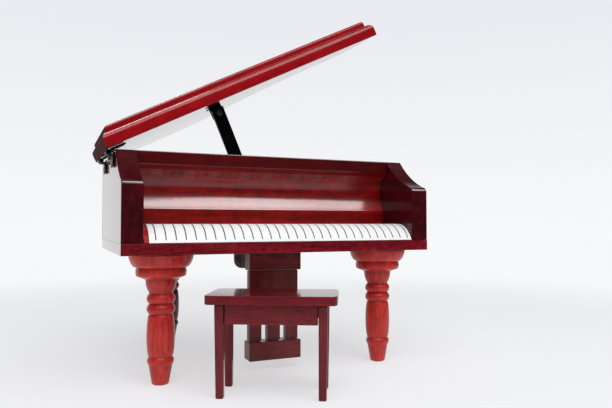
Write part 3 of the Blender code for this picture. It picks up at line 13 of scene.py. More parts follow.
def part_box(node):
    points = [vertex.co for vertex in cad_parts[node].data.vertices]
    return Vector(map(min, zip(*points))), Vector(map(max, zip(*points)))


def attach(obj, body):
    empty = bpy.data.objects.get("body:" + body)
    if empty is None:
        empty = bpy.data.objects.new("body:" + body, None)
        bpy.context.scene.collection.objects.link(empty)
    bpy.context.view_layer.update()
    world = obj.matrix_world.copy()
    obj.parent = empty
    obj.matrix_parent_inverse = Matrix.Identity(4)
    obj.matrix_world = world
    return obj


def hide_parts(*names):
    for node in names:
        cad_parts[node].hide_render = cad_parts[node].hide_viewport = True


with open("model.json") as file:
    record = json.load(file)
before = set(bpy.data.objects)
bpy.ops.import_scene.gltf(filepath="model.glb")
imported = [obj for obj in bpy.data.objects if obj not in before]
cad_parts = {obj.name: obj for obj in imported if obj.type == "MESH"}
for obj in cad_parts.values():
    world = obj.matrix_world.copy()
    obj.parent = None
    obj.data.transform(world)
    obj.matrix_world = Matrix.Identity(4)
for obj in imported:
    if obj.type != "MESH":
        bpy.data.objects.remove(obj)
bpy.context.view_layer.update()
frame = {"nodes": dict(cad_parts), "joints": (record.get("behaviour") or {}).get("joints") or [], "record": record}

mm = 0.001
nodes = frame["nodes"]
record = frame["record"]
bodyOf = {name: body for body, names in record["behaviour"]["bodies"].items() for name in names}
slotOf = {part["node"]: part["material_slot"] for part in record["subparts"]}
joints = {joint["name"]: joint for joint in frame["joints"]}
boardLow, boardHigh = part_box("bottom_board")
caseMiddle = (boardLow.x + boardHigh.x) / 2
caseFront = boardLow.y
boardTop = boardHigh.z
benchTurn = -28.0  # degrees that the bench stands turned from the keys
lidTurn = joints["lid_hinge"]["range_deg"][1]

# Colours and nodes


def linear(hexColour):
    channels = [int(hexColour[i:i + 2], 16) / 255 for i in (0, 2, 4)]
    return (*[c / 12.92 if c <= 0.04045 else ((c + 0.055) / 1.055) ** 2.4 for c in channels], 1.0)


def addNode(tree, kind, settings=None, **links):
    # settings are a node's properties or inputs by name, or inputs by place. A link is named for its
    # input, with _ for a space, or i and the input's place.
    node = tree.nodes.new(kind)
    for name, value in (settings or {}).items():
        if name == "stops":  # places and colours of a colour ramp
            ramp = node.color_ramp
            while len(ramp.elements) < len(value):
                ramp.elements.new(0.5)
            for element, (place, colour) in zip(ramp.elements, value):
                element.position = place
                element.color = linear(colour)
        elif isinstance(name, int) or name in node.inputs:
            node.inputs[name].default_value = value
        else:
            setattr(node, name, value)
    for name, source in links.items():
        slotName = int(name[1:]) if name[0] == "i" and name[1:].isdigit() else name.replace("_", " ")
        tree.links.new(source, node.inputs[slotName])
    return node


def newMaterial(name):
    made = bpy.data.materials.new(name)
    made.use_nodes = True
    return made, made.node_tree, made.node_tree.nodes["Principled BSDF"]


# Stained and lacquered wood. The grain runs along the piece's own long side: the coordinates are
# turned until that side lies along X, then stretched so that one noise cell is one fibre. Real
# fibres are about 0.05 mm wide, too fine to show, so they are drawn ten times as coarse.
woodGrain = {"poreSize": (3.2, 0.42), "pores": (0.60, 0.70), "stain": (0.34, 0.50, 0.66), "relief": 0.03,
             "ripple": 2.6, "shine": (-0.06, 0.08), "edge": (0.46, 0.54)}


def grainNoise(tree, along, length, width, **settings):
    # noise whose cells are length by width, in millimetres
    scale = [1 / (size * mm) for size in (length, width, width)]
    cells = addNode(tree, "ShaderNodeMapping", {"Scale": scale}, Vector=along.outputs[0])
    return addNode(tree, "ShaderNodeTexNoise", dict(settings, Scale=1.0), Vector=cells.outputs[0])


def stainedWood(name, look):
    made, tree, shader = newMaterial(name)
    place = addNode(tree, "ShaderNodeTexCoord")
    turn = [math.radians(a) for a in look.get("turn", (0, 0, 0))]
    along = addNode(tree, "ShaderNodeMapping", {"vector_type": "TEXTURE", "Rotation": turn},
                    Vector=place.outputs["Object"])
    fibre = grainNoise(tree, along, *look["fibre"], Detail=3.0, Roughness=0.6)
    figure = grainNoise(tree, along, *look["figure"], Detail=2.0, Distortion=0.6)
    pores = grainNoise(tree, along, *woodGrain["poreSize"], Detail=1.0)  # short and open
    poreFrom, poreTo = woodGrain["pores"]
    poreMask = addNode(tree, "ShaderNodeMapRange", {"From Min": poreFrom, "From Max": poreTo,
                                                    "To Max": look["pores"]},
                       Value=pores.outputs["Fac"])
    stain = addNode(tree, "ShaderNodeTexNoise", {"Scale": 1 / (look["mottle"] * mm), "Detail": 4.0},
                    Vector=along.outputs[0])
    grain = addNode(tree, "ShaderNodeMix", {"data_type": "RGBA", "Factor": look["figureShare"]},
                    i6=fibre.outputs["Fac"], i7=figure.outputs["Fac"])
    mixed = addNode(tree, "ShaderNodeMix", {"data_type": "RGBA", "Factor": look["mottleShare"]},
                    i6=grain.outputs[2], i7=stain.outputs["Fac"])
    colour = addNode(tree, "ShaderNodeValToRGB", {"stops": tuple(zip(woodGrain["stain"], look["colours"]))},
                     Fac=mixed.outputs[2])
    poreColour = addNode(tree, "ShaderNodeMix", {"data_type": "RGBA", "B": linear(look["poreColour"])},
                         Factor=poreMask.outputs[0], i6=colour.outputs[0])
    tone = poreColour.outputs[2]
    if "edges" in look:  # darker in the turned grooves and lighter on the crests, by the surface's pointiness
        shape = addNode(tree, "ShaderNodeNewGeometry")
        groove, crest = woodGrain["edge"]
        edge = addNode(tree, "ShaderNodeMapRange", {"From Min": groove, "From Max": crest,
                                                    "To Min": look["edges"][0], "To Max": look["edges"][1]},
                       Value=shape.outputs["Pointiness"])
        worn = addNode(tree, "ShaderNodeHueSaturation", {}, Value=edge.outputs[0], Color=tone)
        tone = worn.outputs[0]
    tree.links.new(tone, shader.inputs["Base Color"])
    smooth, dull = (look["rough"] + step for step in woodGrain["shine"])
    shine = addNode(tree, "ShaderNodeMapRange", {"To Min": smooth, "To Max": dull},
                    Value=fibre.outputs["Fac"])
    tree.links.new(shine.outputs[0], shader.inputs["Roughness"])
    shader.inputs["Coat Weight"].default_value = look["coat"]
    shader.inputs["Coat Roughness"].default_value = look["coatRough"]
    shader.inputs["Specular IOR Level"].default_value = look["specular"]
    height = woodGrain["relief"] * mm
    relief = addNode(tree, "ShaderNodeBump", {"Strength": look["relief"], "Distance": height},
                     Height=mixed.outputs[2])
    tree.links.new(relief.outputs[0], shader.inputs["Normal"])
    ripple = addNode(tree, "ShaderNodeTexNoise", {"Scale": 1 / (woodGrain["ripple"] * mm), "Detail": 2.0},
                     Vector=place.outputs["Object"])  # brushed lacquer's orange peel, 2 to 3 mm across
    coatRelief = addNode(tree, "ShaderNodeBump", {"Strength": look["peel"], "Distance": height},
                         Height=ripple.outputs["Fac"])
    tree.links.new(coatRelief.outputs[0], shader.inputs["Coat Normal"])
    return made


print("wood")
# Fibre and figure are the length and width of a grain mark in millimetres, mottle the size of a
# blotch of stain, pores how much they darken, and turn the angles that bring the grain onto X.
plain = {"pores": 0.5, "mottle": 7.0, "figureShare": 0.45, "mottleShare": 0.3, "relief": 0.35, "peel": 0.25}
# Cherry veneer, stained red and brushed with gloss lacquer: soft dark fibres under a coat that mirrors
gloss = dict(plain, rough=0.34, coat=1.0, coatRough=0.08, poreColour="160103", specular=0.08)
# Solid beech or sawn cherry, stained and wiped with satin lacquer: more grain, and the shine spreads
satin = dict(plain, rough=0.42, coat=0.5, coatRough=0.24, poreColour="3C0808", specular=0.15)
# The turned legs' beech: the brightest red, darker in the grooves and lighter on the crests
turned = dict(satin, fibre=(11, 0.45), figure=(34, 2.4), turn=(0, 90, 0), pores=0.3, edges=(0.7, 1.15),
              mottle=6.0, mottleShare=0.25)
# The bench's cherry: a thinner coat than the case has, so its shine is softer
thin = dict(gloss, fibre=(12, 0.5), figure=(40, 3), coat=0.45, coatRough=0.14,
            colours=("520610", "72101A", "8C1A24"))
woods = {
    # the lid's boards, filled and polished: bright red with hardly a pore
    "lidCherry": dict(gloss, fibre=(16, 0.5), figure=(70, 4), turn=(0, -lidTurn, 0), pores=0.3,
                      colours=("78030A", "96060F", "AA1015")),
    # the lid's side by the hinges, which faces down: brown, dark and dull with no coat, as painted shade
    "lidEndCherry": dict(satin, coat=0.0, rough=0.7, specular=0.02, fibre=(16, 0.5), figure=(70, 4),
                         turn=(0, -lidTurn, 0), pores=0.3, colours=("3E1A1E", "54262A", "683236")),
    # the bottom board, open-pored: the stain takes unevenly, so its front edge is flecked
    "boardCherry": dict(gloss, fibre=(10, 0.5), figure=(36, 2.4), mottle=2.6, pores=0.7,
                        colours=("48030D", "76101C", "A01E2C")),
    # the rail's planed board: stained dark and even
    "railCherry": dict(gloss, fibre=(14, 0.5), figure=(60, 4), colours=("3A0103", "4C0205", "600408")),
    # the cove, hollowed with a cutter: a lighter red, and lacquer that lies in ripples
    "coveCherry": dict(gloss, fibre=(14, 0.5), figure=(60, 3), coatRough=0.17, peel=0.5,
                       colours=("520304", "7E0709", "A2100E")),
    # the arms' sawn ends: end grain soaks up stain, so they are the darkest wood
    "cheekCherry": dict(gloss, coat=0.8, fibre=(3, 0.6), figure=(14, 5), mottle=4.0, mottleShare=0.4,
                        pores=0.4, turn=(0, 0, 90), colours=("240106", "3E030A", "580812")),
    # the left arm's scoop, where the lacquer sank into the end grain: dark with little shine
    "sunkCherry": dict(satin, coat=0.08, specular=0.05, fibre=(3, 0.6), figure=(14, 5), mottle=4.0,
                       pores=0.4, turn=(0, 0, 90), colours=("2A0207", "44040B", "5A0A13")),
    # veneer bent round the rim and laid on the sides: mid red and glossy
    "rimCherry": dict(gloss, fibre=(14, 0.5), figure=(60, 5), turn=(0, 0, 90), pores=0.4,
                      colours=("4A040A", "6C0810", "861018")),
    # the key block, with one thin coat: bright and nearly matt
    "keyBlockCherry": dict(gloss, coat=0.12, fibre=(12, 0.5), figure=(50, 4), pores=0.3,
                           colours=("9A0C16", "B01A22", "C42830")),
    "legBeech": dict(turned, colours=("8C1812", "C22A22", "DC4238")),
    # the same beech under the tail, drawn darker as painted shade for the shadow under the case
    "rearLegBeech": dict(turned, colours=("46100D", "641A16", "7A2723")),
    # the lyre's sawn upright: brown red, darker than the legs partly as painted shade for the shadow under the
    # case, with the grain upright
    "lyreBeech": dict(satin, fibre=(10, 0.5), figure=(30, 3), turn=(0, 90, 0),
                      colours=("440504", "620A08", "7C1812")),
    # its blocks, sawn across: a cooler red, darker than the legs partly as painted shade, with the grain level
    "lyreBlockBeech": dict(satin, fibre=(10, 0.5), figure=(30, 3), colours=("46090A", "6A1416", "862426")),
    "benchCherry": dict(thin, turn=(0, 0, benchTurn)),
    # the seat, rubbed flat between its coats: mirrors the lyre behind it
    "seatTopCherry": dict(thin, turn=(0, 0, benchTurn), pores=0.4, coat=1.0, coatRough=0.1,
                          colours=("4A060E", "64101A", "7A1822")),
    "benchSideCherry": dict(thin, turn=(0, 0, 90 + benchTurn)),
    # the bench's sawn legs: a shade browner
    "benchLegCherry": dict(thin, turn=(0, 90, 0), coatRough=0.16, colours=("50080E", "6C1219", "861E24")),
}
finishes = {name: stainedWood(name, look) for name, look in woods.items()}


# Metals, plastic and rubber: a base colour that a noise darkens a little, and fine marks as relief.
# Marks are the size of a scratch or grain along each axis in millimetres, coarser than the real ones,
# which are a few hundredths wide and too fine to show.
metalGrain = {"cloud": 4.0, "tones": (0.35, 0.65), "shine": (-0.08, 0.12), "relief": 0.02}


def metal(name, look):
    made, tree, shader = newMaterial(name)
    place = addNode(tree, "ShaderNodeTexCoord")
    scratchScale = [1 / (size * mm) for size in look["marks"]]
    stretched = addNode(tree, "ShaderNodeMapping", {"Scale": scratchScale}, Vector=place.outputs["Object"])
    marks = addNode(tree, "ShaderNodeTexNoise", {"Scale": 1.0, "Detail": 3.0}, Vector=stretched.outputs[0])
    cloud = addNode(tree, "ShaderNodeTexNoise", {"Scale": 1 / (metalGrain["cloud"] * mm), "Detail": 2.0},
                    Vector=place.outputs["Object"])
    colour = addNode(tree, "ShaderNodeValToRGB",
                     {"stops": tuple(zip(metalGrain["tones"], (look["dark"], look["light"])))},
                     Fac=cloud.outputs["Fac"])
    tree.links.new(colour.outputs[0], shader.inputs["Base Color"])
    smooth, dull = (look["rough"] + step for step in metalGrain["shine"])
    shine = addNode(tree, "ShaderNodeMapRange", {"To Min": smooth, "To Max": dull},
                    Value=marks.outputs["Fac"])
    tree.links.new(shine.outputs[0], shader.inputs["Roughness"])
    shader.inputs["Metallic"].default_value = look["metallic"]
    if "specular" in look:
        shader.inputs["Specular IOR Level"].default_value = look["specular"]
    height = metalGrain["relief"] * mm
    relief = addNode(tree, "ShaderNodeBump", {"Strength": look["relief"], "Distance": height},
                     Height=marks.outputs["Fac"])
    tree.links.new(relief.outputs[0], shader.inputs["Normal"])
    return made


print("metals, card, plastic and rubber")
metals = {
    # stoved black enamel on steel strip: deep black with a soft sheen
    "blackEnamel": {"dark": "020203", "light": "050506", "rough": 0.24, "metallic": 0.0,
                    "marks": (0.8, 0.8, 0.8), "relief": 0.15, "specular": 0.25},
    # the hinges' enamel is thinner and duller
    "dullEnamel": {"dark": "040404", "light": "0A0A0B", "rough": 0.5, "metallic": 0.0,
                   "marks": (0.8, 0.8, 0.8), "relief": 0.3, "specular": 0.2},
    # pressed key in darkened nickel: grey, a little rough and cloudy
    "agedNickel": {"dark": "6A6163", "light": "9A9092", "rough": 0.5, "metallic": 1.0,
                   "marks": (0.9, 0.9, 0.9), "relief": 0.4},
    # turned and brushed brass: warm, with fine lines round the axis
    "turnedBrass": {"dark": "B98A3A", "light": "D9B25C", "rough": 0.28, "metallic": 1.0,
                    "marks": (3.0, 0.3, 0.3), "relief": 0.25},
    # ground steel: neutral grey with straight grinding lines
    "groundSteel": {"dark": "9A9CA0", "light": "BDBFC3", "rough": 0.26, "metallic": 1.0,
                    "marks": (0.25, 4.0, 4.0), "relief": 0.3},
    # hardened comb and spring: blued steel
    "bluedSteel": {"dark": "28324E", "light": "3D4C72", "rough": 0.3, "metallic": 1.0,
                   "marks": (4.0, 4.0, 0.4), "relief": 0.2},
    # die-cast zinc: dull grey with a fine casting skin
    "castZinc": {"dark": "83868B", "light": "A2A5A9", "rough": 0.48, "metallic": 1.0,
                 "marks": (0.5, 0.5, 0.5), "relief": 0.6},
    # moulded acetal: milky white, half matt
    "whiteAcetal": {"dark": "DCDAD2", "light": "EAE8E2", "rough": 0.38, "metallic": 0.0,
                    "marks": (0.7, 0.7, 0.7), "relief": 0.2},
    # die-cut sheet rubber: black and matt
    "blackRubber": {"dark": "131314", "light": "1C1C1D", "rough": 0.75, "metallic": 0.0,
                    "marks": (0.35, 0.35, 0.35), "relief": 0.8},
}
finishes.update({name: metal(name, look) for name, look in metals.items()})

# Coated card, offset printed and die cut: even white with faint pulp and a soft sheen, a cream edge
# where it is cut, and a navy ink that turns bluer down the front of the keys and is worn in specks
cardLook = {"white": ("EDEDEA", "FAFAF8"), "pulp": 0.9, "whiteRough": 0.42, "specular": 0.4,
            "relief": (0.2, 0.02 * mm), "tones": (0.3, 0.7),
            "cut": ("C9BC9F", "D8CDB4"), "fibre": 0.4, "cutRough": 0.8,
            "ink": ("1B2668", "0E101B"), "inkFades": (1 * mm, 7 * mm), "inkTones": (0.0, 0.7),
            "speck": 0.5, "worn": "8890A8", "wear": (0.62, 0.75, 0.5), "inkRough": 0.35}


def cardNoise(tree, size, detail):
    place = addNode(tree, "ShaderNodeTexCoord")
    return addNode(tree, "ShaderNodeTexNoise", {"Scale": 1 / (cardLook[size] * mm), "Detail": detail},
                   Vector=place.outputs["Object"])


finishes["whiteCard"], tree, shader = newMaterial("coatedCard")
pulp = cardNoise(tree, "pulp", 4.0)
white = addNode(tree, "ShaderNodeValToRGB", {"stops": tuple(zip(cardLook["tones"], cardLook["white"]))},
                Fac=pulp.outputs["Fac"])
tree.links.new(white.outputs[0], shader.inputs["Base Color"])
shader.inputs["Roughness"].default_value = cardLook["whiteRough"]
shader.inputs["Specular IOR Level"].default_value = cardLook["specular"]
strength, height = cardLook["relief"]
relief = addNode(tree, "ShaderNodeBump", {"Strength": strength, "Distance": height},
                 Height=pulp.outputs["Fac"])
tree.links.new(relief.outputs[0], shader.inputs["Normal"])

finishes["cutCard"], tree, shader = newMaterial("cutCardEdge")
fibres = cardNoise(tree, "fibre", 3.0)
cream = addNode(tree, "ShaderNodeValToRGB", {"stops": tuple(zip(cardLook["tones"], cardLook["cut"]))},
                Fac=fibres.outputs["Fac"])
tree.links.new(cream.outputs[0], shader.inputs["Base Color"])
shader.inputs["Roughness"].default_value = cardLook["cutRough"]

finishes["keyInk"], tree, shader = newMaterial("printingInk")
place = addNode(tree, "ShaderNodeTexCoord")
parts = addNode(tree, "ShaderNodeSeparateXYZ", {}, Vector=place.outputs["Object"])
foot, head = (boardTop + rise for rise in cardLook["inkFades"])
height = addNode(tree, "ShaderNodeMapRange", {"From Min": foot, "From Max": head}, Value=parts.outputs["Z"])
ink = addNode(tree, "ShaderNodeValToRGB", {"stops": tuple(zip(cardLook["inkTones"], cardLook["ink"]))},
              Fac=height.outputs[0])
speck = cardNoise(tree, "speck", 3.0)
wornFrom, wornTo, wornShare = cardLook["wear"]
dots = addNode(tree, "ShaderNodeMapRange", {"From Min": wornFrom, "From Max": wornTo, "To Max": wornShare},
               Value=speck.outputs["Fac"])
worn = addNode(tree, "ShaderNodeMix", {"data_type": "RGBA", "B": linear(cardLook["worn"])},
               Factor=dots.outputs[0], i6=ink.outputs[0])
tree.links.new(worn.outputs[2], shader.inputs["Base Color"])
shader.inputs["Roughness"].default_value = cardLook["inkRough"]

# Pieces


def endPiece(work, name, body, finishNames, replaced=(), smooth=40.0):
    # makes the object from the bmesh, with its finishes by material index, on its body
    mesh = bpy.data.meshes.new(name)
    work.to_mesh(mesh)
    work.free()
    mesh.shade_smooth()
    mesh.set_sharp_from_angle(angle=math.radians(smooth))
    for finishName in finishNames:
        mesh.materials.append(finishes[finishName])
    piece = bpy.data.objects.new(name, mesh)
    bpy.context.scene.collection.objects.link(piece)
    piece.modifiers.new("evenShading", "WEIGHTED_NORMAL").keep_sharp = True
    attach(piece, body)
    if replaced:
        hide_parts(*replaced)
    return piece


def camelName(nodeName):
    first, *rest = nodeName.split("_")
    return first + "".join(word.capitalize() for word in rest)


def copyOf(nodeName):
    # a CAD node's mesh with its loose triangles merged and flat faces joined
    work = bmesh.new()
    work.from_mesh(nodes[nodeName].data)
    bmesh.ops.remove_doubles(work, verts=work.verts, dist=0.002 * mm)
    bmesh.ops.dissolve_limit(work, angle_limit=math.radians(1), verts=work.verts, edges=work.edges,
                             use_dissolve_boundaries=False, delimit=set())
    return work


def roundEdges(work, width, segments=3, angle=30.0, above=None):
    # bevels every edge sharper than the angle, or only those that reach above a height
    corner = math.radians(angle)
    sharp = [e for e in work.edges if len(e.link_faces) == 2 and e.calc_face_angle() > corner]
    if above is not None:
        sharp = [e for e in sharp if max(v.co.z for v in e.verts) > above]
    bmesh.ops.bevel(work, geom=sharp, offset=width, offset_type="OFFSET", segments=segments, profile=0.5,
                    affect="EDGES", clamp_overlap=True, material=-1)


def settle(work, low, depth, onto):
    # brings the lowest layer of a board down onto what it is glued to, so that no light shows between
    for vert in work.verts:
        if vert.co.z < low + depth:
            vert.co.z = onto + 0.1 * (vert.co.z - low)


print("case")
# Roundings of the edges, how far CAD's chamfers and gaps are drawn in to close the glue lines, and the
# depth of the arms' noses and the height of the rail
caseLook = {"edge": 0.5 * mm, "boardEdge": 0.18 * mm, "blockEdge": 0.2 * mm, "railEdge": 0.45 * mm,
            "glueLine": 0.03 * mm, "cadChamfer": 0.45 * mm, "fit": 0.3 * mm, "cadGap": 0.32 * mm,
            "nose": 3.4 * mm, "rail": 7.2 * mm}
work = copyOf("bottom_board")
roundEdges(work, caseLook["edge"], 3)
endPiece(work, "caseBoard", "case", ["boardCherry"], ["bottom_board"])
for nodeName, pieceName in (("left_side_board", "leftSide"), ("right_side_board", "rightSide")):
    work = copyOf(nodeName)
    settle(work, boardTop + caseLook["fit"], caseLook["cadChamfer"], boardTop + caseLook["glueLine"])
    roundEdges(work, caseLook["boardEdge"], 2, above=boardTop + mm)
    for face in work.faces:
        if abs(face.normal.x) > 0.9 and (face.calc_center_median().x - caseMiddle) * face.normal.x > 0:
            face.material_index = 1  # outer side
        elif nodeName == "left_side_board" and 0.3 < face.normal.z < 0.98 and \
                face.calc_center_median().y > caseFront + caseLook["nose"]:
            face.material_index = 2  # the scoop, where the lacquer has sunk in
    endPiece(work, pieceName, "case", ["cheekCherry", "rimCherry", "sunkCherry"], [nodeName])
work = copyOf("bent_rim")
settle(work, boardTop + caseLook["fit"], 0.1 * mm, boardTop + caseLook["glueLine"])
roundEdges(work, caseLook["edge"], 3, 40.0, above=boardTop + mm)
endPiece(work, "bentRim", "case", ["rimCherry"], ["bent_rim"], smooth=50)
work = copyOf("coved_fallboard")
long = [e for e in work.edges if abs(e.verts[0].co.x - e.verts[1].co.x) > 0.1 and len(e.link_faces) == 2
        and e.calc_face_angle() > math.radians(24) and e.verts[0].co.z > boardTop + mm]
bmesh.ops.bevel(work, geom=long, offset=caseLook["railEdge"], offset_type="OFFSET", segments=4, profile=0.5,
                affect="EDGES", clamp_overlap=True, material=-1)
for vert in work.verts:  # glued between the cheeks and down onto the board
    vert.co.x += math.copysign(caseLook["cadGap"], vert.co.x - caseMiddle)
    if vert.co.z < boardTop + 0.5 * mm:
        vert.co.z = boardTop + caseLook["glueLine"]
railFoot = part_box("coved_fallboard")[1].z - caseLook["rail"]
for face in work.faces:  # the rail's front and top; all the rest is the cove's
    onRail = face.calc_center_median().z > railFoot and (face.normal.y < -0.5 or face.normal.z > 0.5)
    face.material_index = 0 if onRail else 1
endPiece(work, "covedBoard", "case", ["railCherry", "coveCherry"], ["coved_fallboard"], smooth=30)
work = copyOf("key_block")
roundEdges(work, caseLook["blockEdge"], 2, above=boardTop + mm)
endPiece(work, "keyBlock", "case", ["keyBlockCherry"], ["key_block"])

print("keyboard")
# The card from the case's front and the board's top, the printed lines between the keys, and which of
# every seven lines carry a black key
keyLook = {"height": 9.0 * mm, "roundDepth": 13.4 * mm, "back": 30.6 * mm, "card": 0.5 * mm, "arcSteps": 16,
           "firstLine": 3.0 * mm, "pitch": 4.72 * mm, "lines": 30, "lineWidth": 0.56 * mm,
           "lineFoot": 1.5 * mm, "blackWidth": 2.5 * mm, "blackFront": 14.6 * mm, "blackBack": 29.6 * mm,
           "blackAt": (0, 1, 3, 4, 5)}
cardLow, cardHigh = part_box("keyboard_card")
radius = (keyLook["roundDepth"] ** 2 + keyLook["height"] ** 2) / (2 * keyLook["height"])
centre = Vector((cardLow.x, caseFront + keyLook["roundDepth"], boardTop + keyLook["height"] - radius))
work = bmesh.new()
foot = work.verts.new((cardLow.x, cardLow.y, cardLow.z))
sweep = math.acos((cardLow.z - centre.z) / radius)
bmesh.ops.spin(work, geom=[foot], cent=centre, axis=(1, 0, 0), angle=-sweep, steps=keyLook["arcSteps"])
top = max(work.verts, key=lambda vert: vert.co.y)
top = bmesh.ops.extrude_vert_indiv(work, verts=[top])["verts"][0]
top.co.y = caseFront + keyLook["back"]
strip = bmesh.ops.extrude_edge_only(work, edges=work.edges[:])["geom"]
bmesh.ops.translate(work, vec=(cardHigh.x - cardLow.x, 0, 0),
                    verts=[part for part in strip if isinstance(part, bmesh.types.BMVert)])
bmesh.ops.recalc_face_normals(work, faces=work.faces)
if sum(face.normal.z for face in work.faces) < 0:
    bmesh.ops.reverse_faces(work, faces=work.faces)
lineXs = [cardLow.x + keyLook["firstLine"] + step * keyLook["pitch"] for step in range(keyLook["lines"])]
blackXs = [x for step, x in enumerate(lineXs) if step % 7 in keyLook["blackAt"]]
cuts = [((x + side * keyLook["lineWidth"] / 2, 0, 0), (1, 0, 0)) for x in lineXs for side in (-1, 1)]
cuts += [((x + side * keyLook["blackWidth"] / 2, 0, 0), (1, 0, 0)) for x in blackXs for side in (-1, 1)]
cuts += [((0, caseFront + keyLook[end], 0), (0, 1, 0)) for end in ("blackFront", "blackBack")]
cuts.append(((0, 0, boardTop + keyLook["lineFoot"]), (0, 0, 1)))
for point, normal in cuts:
    geometry = work.verts[:] + work.edges[:] + work.faces[:]
    bmesh.ops.bisect_plane(work, geom=geometry, dist=0.0001 * mm, plane_co=point, plane_no=normal)
for face in work.faces:
    middle = face.calc_center_median()
    onLine = any(abs(middle.x - x) < keyLook["lineWidth"] / 2 for x in lineXs)
    onBlack = any(abs(middle.x - x) < keyLook["blackWidth"] / 2 for x in blackXs)
    depth = middle.y - caseFront
    if onLine and middle.z > boardTop + keyLook["lineFoot"] and depth < keyLook["blackBack"]:
        face.material_index = 1
    if onBlack and keyLook["blackFront"] < depth < keyLook["blackBack"]:
        face.material_index = 1
printed = set(work.faces)
bmesh.ops.solidify(work, geom=work.faces[:], thickness=keyLook["card"])
for face in work.faces:
    if face not in printed:
        face.material_index = 2
endPiece(work, "keyCard", "case", ["whiteCard", "keyInk", "cutCard"], ["keyboard_card"], smooth=30)

print("legs")
# Radii and heights in millimetres, mostly in pairs, from the dowel at the top down to the sole
legLook = {"top": 63.2, "dowel": (3.0, 3.5), "cap": (15.7, 6.4), "collar": (12.3, 4.1), "groove": 0.4,
           "neck": (7.4, 1.8, 0.6, 2.5), "ring": (6.9, 5.0), "ringGroove": 5.6, "ringsRise": 11.9,
           "vase": 6.8, "ankle": 5.7, "ankleRing": (6.5, 4.0), "foot": (4.2, 9.5, 0.9), "steps": 72,
           "lip": (0.5, 0.3), "capCurve": 1.3, "flare": ((1.3, 0.5), (0.2, 0.0)), "bulge": 0.25,
           "soleRound": (0.25, 0.4)}


def swell(groove, crest, top, height, steps, fullness=1.0):
    # a round moulding between two grooves, going down
    points = []
    for step in range(steps + 1):
        lift = math.sin(math.pi * step / steps) if 0 < step < steps else 0.0
        points.append((groove + (crest - groove) * lift ** fullness, top - height * step / steps))
    return points


def legProfile(look):
    top = look["top"]
    points = [(0.0, top + look["dowel"][1]), (look["dowel"][0], top + look["dowel"][1]),
              (look["dowel"][0], top), (look["cap"][0] - look["lip"][0], top),
              (look["cap"][0], top - look["lip"][1])]
    seat = look["collar"][0] - look["groove"]
    for step in range(1, 13):
        turn = math.radians(90 * step / 12)
        radius = seat + (look["cap"][0] - seat) * math.cos(turn)
        drop = (look["cap"][1] - look["lip"][1]) * math.sin(turn) ** look["capCurve"]
        points.append((radius, top - look["lip"][1] - drop))
    low = top - look["cap"][1]
    points += swell(seat, look["collar"][0], low, look["collar"][1], 10)[1:]
    neckTop = low - look["collar"][1] - look["neck"][1]
    points += [(look["neck"][0] + out, neckTop + up) for out, up in look["flare"]]
    footTop = look["foot"][1] + look["ankleRing"][1]
    ringsTop = (neckTop + footTop) / 2 + look["ringsRise"]
    for share in (0.25, 0.5, 0.75, 1.0):
        reach = look["neck"][0] - look["neck"][2] * share + look["bulge"] * math.sin(math.pi * share)
        points.append((reach, neckTop + (ringsTop + look["neck"][3] - neckTop) * share))
    for _ in range(2):
        points += swell(look["ringGroove"], look["ring"][0], ringsTop, look["ring"][1], 12, 0.8)
        ringsTop -= look["ring"][1]
    points += swell(look["ankle"], look["vase"], ringsTop, ringsTop - footTop, 22, 0.5)[1:]
    points += swell(look["ankle"], look["ankleRing"][0], footTop, look["ankleRing"][1], 10)[1:]
    foot = look["foot"]
    inward, up = look["soleRound"]
    points += [(foot[0], foot[2]), (foot[0] - inward, foot[2] * up), (foot[0] - foot[2], 0.0), (0.0, 0.0)]
    return points


for nodeName, pieceName in (("front_left_leg", "frontLeftLeg"), ("front_right_leg", "frontRightLeg"),
                            ("rear_leg", "rearLeg")):
    low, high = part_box(nodeName)
    middle = (low + high) / 2
    work = bmesh.new()
    knots = [work.verts.new((radius * mm, 0, height * mm)) for radius, height in legProfile(legLook)]
    for first, second in zip(knots, knots[1:]):
        work.edges.new((first, second))
    bmesh.ops.spin(work, geom=work.verts[:] + work.edges[:], cent=(0, 0, 0), axis=(0, 0, 1),
                   angle=math.tau, steps=legLook["steps"], use_merge=True)
    bmesh.ops.remove_doubles(work, verts=work.verts, dist=0.002 * mm)
    bmesh.ops.translate(work, vec=(middle.x, middle.y, 0), verts=work.verts)
    bmesh.ops.recalc_face_normals(work, faces=work.faces)
    # the rear leg's finish carries painted shade
    finishName = "rearLegBeech" if nodeName == "rear_leg" else "legBeech"
    endPiece(work, pieceName, "case", [finishName], [nodeName], smooth=45)

print("lyre")
# Each piece keeps its CAD shape, and its sawn edges are just broken
# the lyre's finishes carry painted shade for the shadow under the case
lyreLook = {"edge": 0.16 * mm, "finishes": {
    "lyre_top_block": "lyreBlockBeech", "lyre_upright": "lyreBeech", "lyre_foot_block": "lyreBlockBeech"}}
for nodeName, finishName in lyreLook["finishes"].items():
    work = copyOf(nodeName)
    roundEdges(work, lyreLook["edge"], 2)
    endPiece(work, camelName(nodeName), "case", [finishName], [nodeName])

print("lid")
# Millimetres: the closed lid's outline from the case's middle and front, then its moulding
lidLook = {"halfWidth": 82.5, "leftSide": 100.0, "rightSide": 47.0, "tail": 45.0, "shoulder": 18.0,
           "waist": 75.0, "reach": 1.5, "overhang": 1.5, "front": 27.0, "band": 4.4, "edge": 0.4,
           "round": 3.1, "ledge": 0.3, "riser": 2.0, "lean": 0.05, "topRound": 1.3, "gap": 0.3}


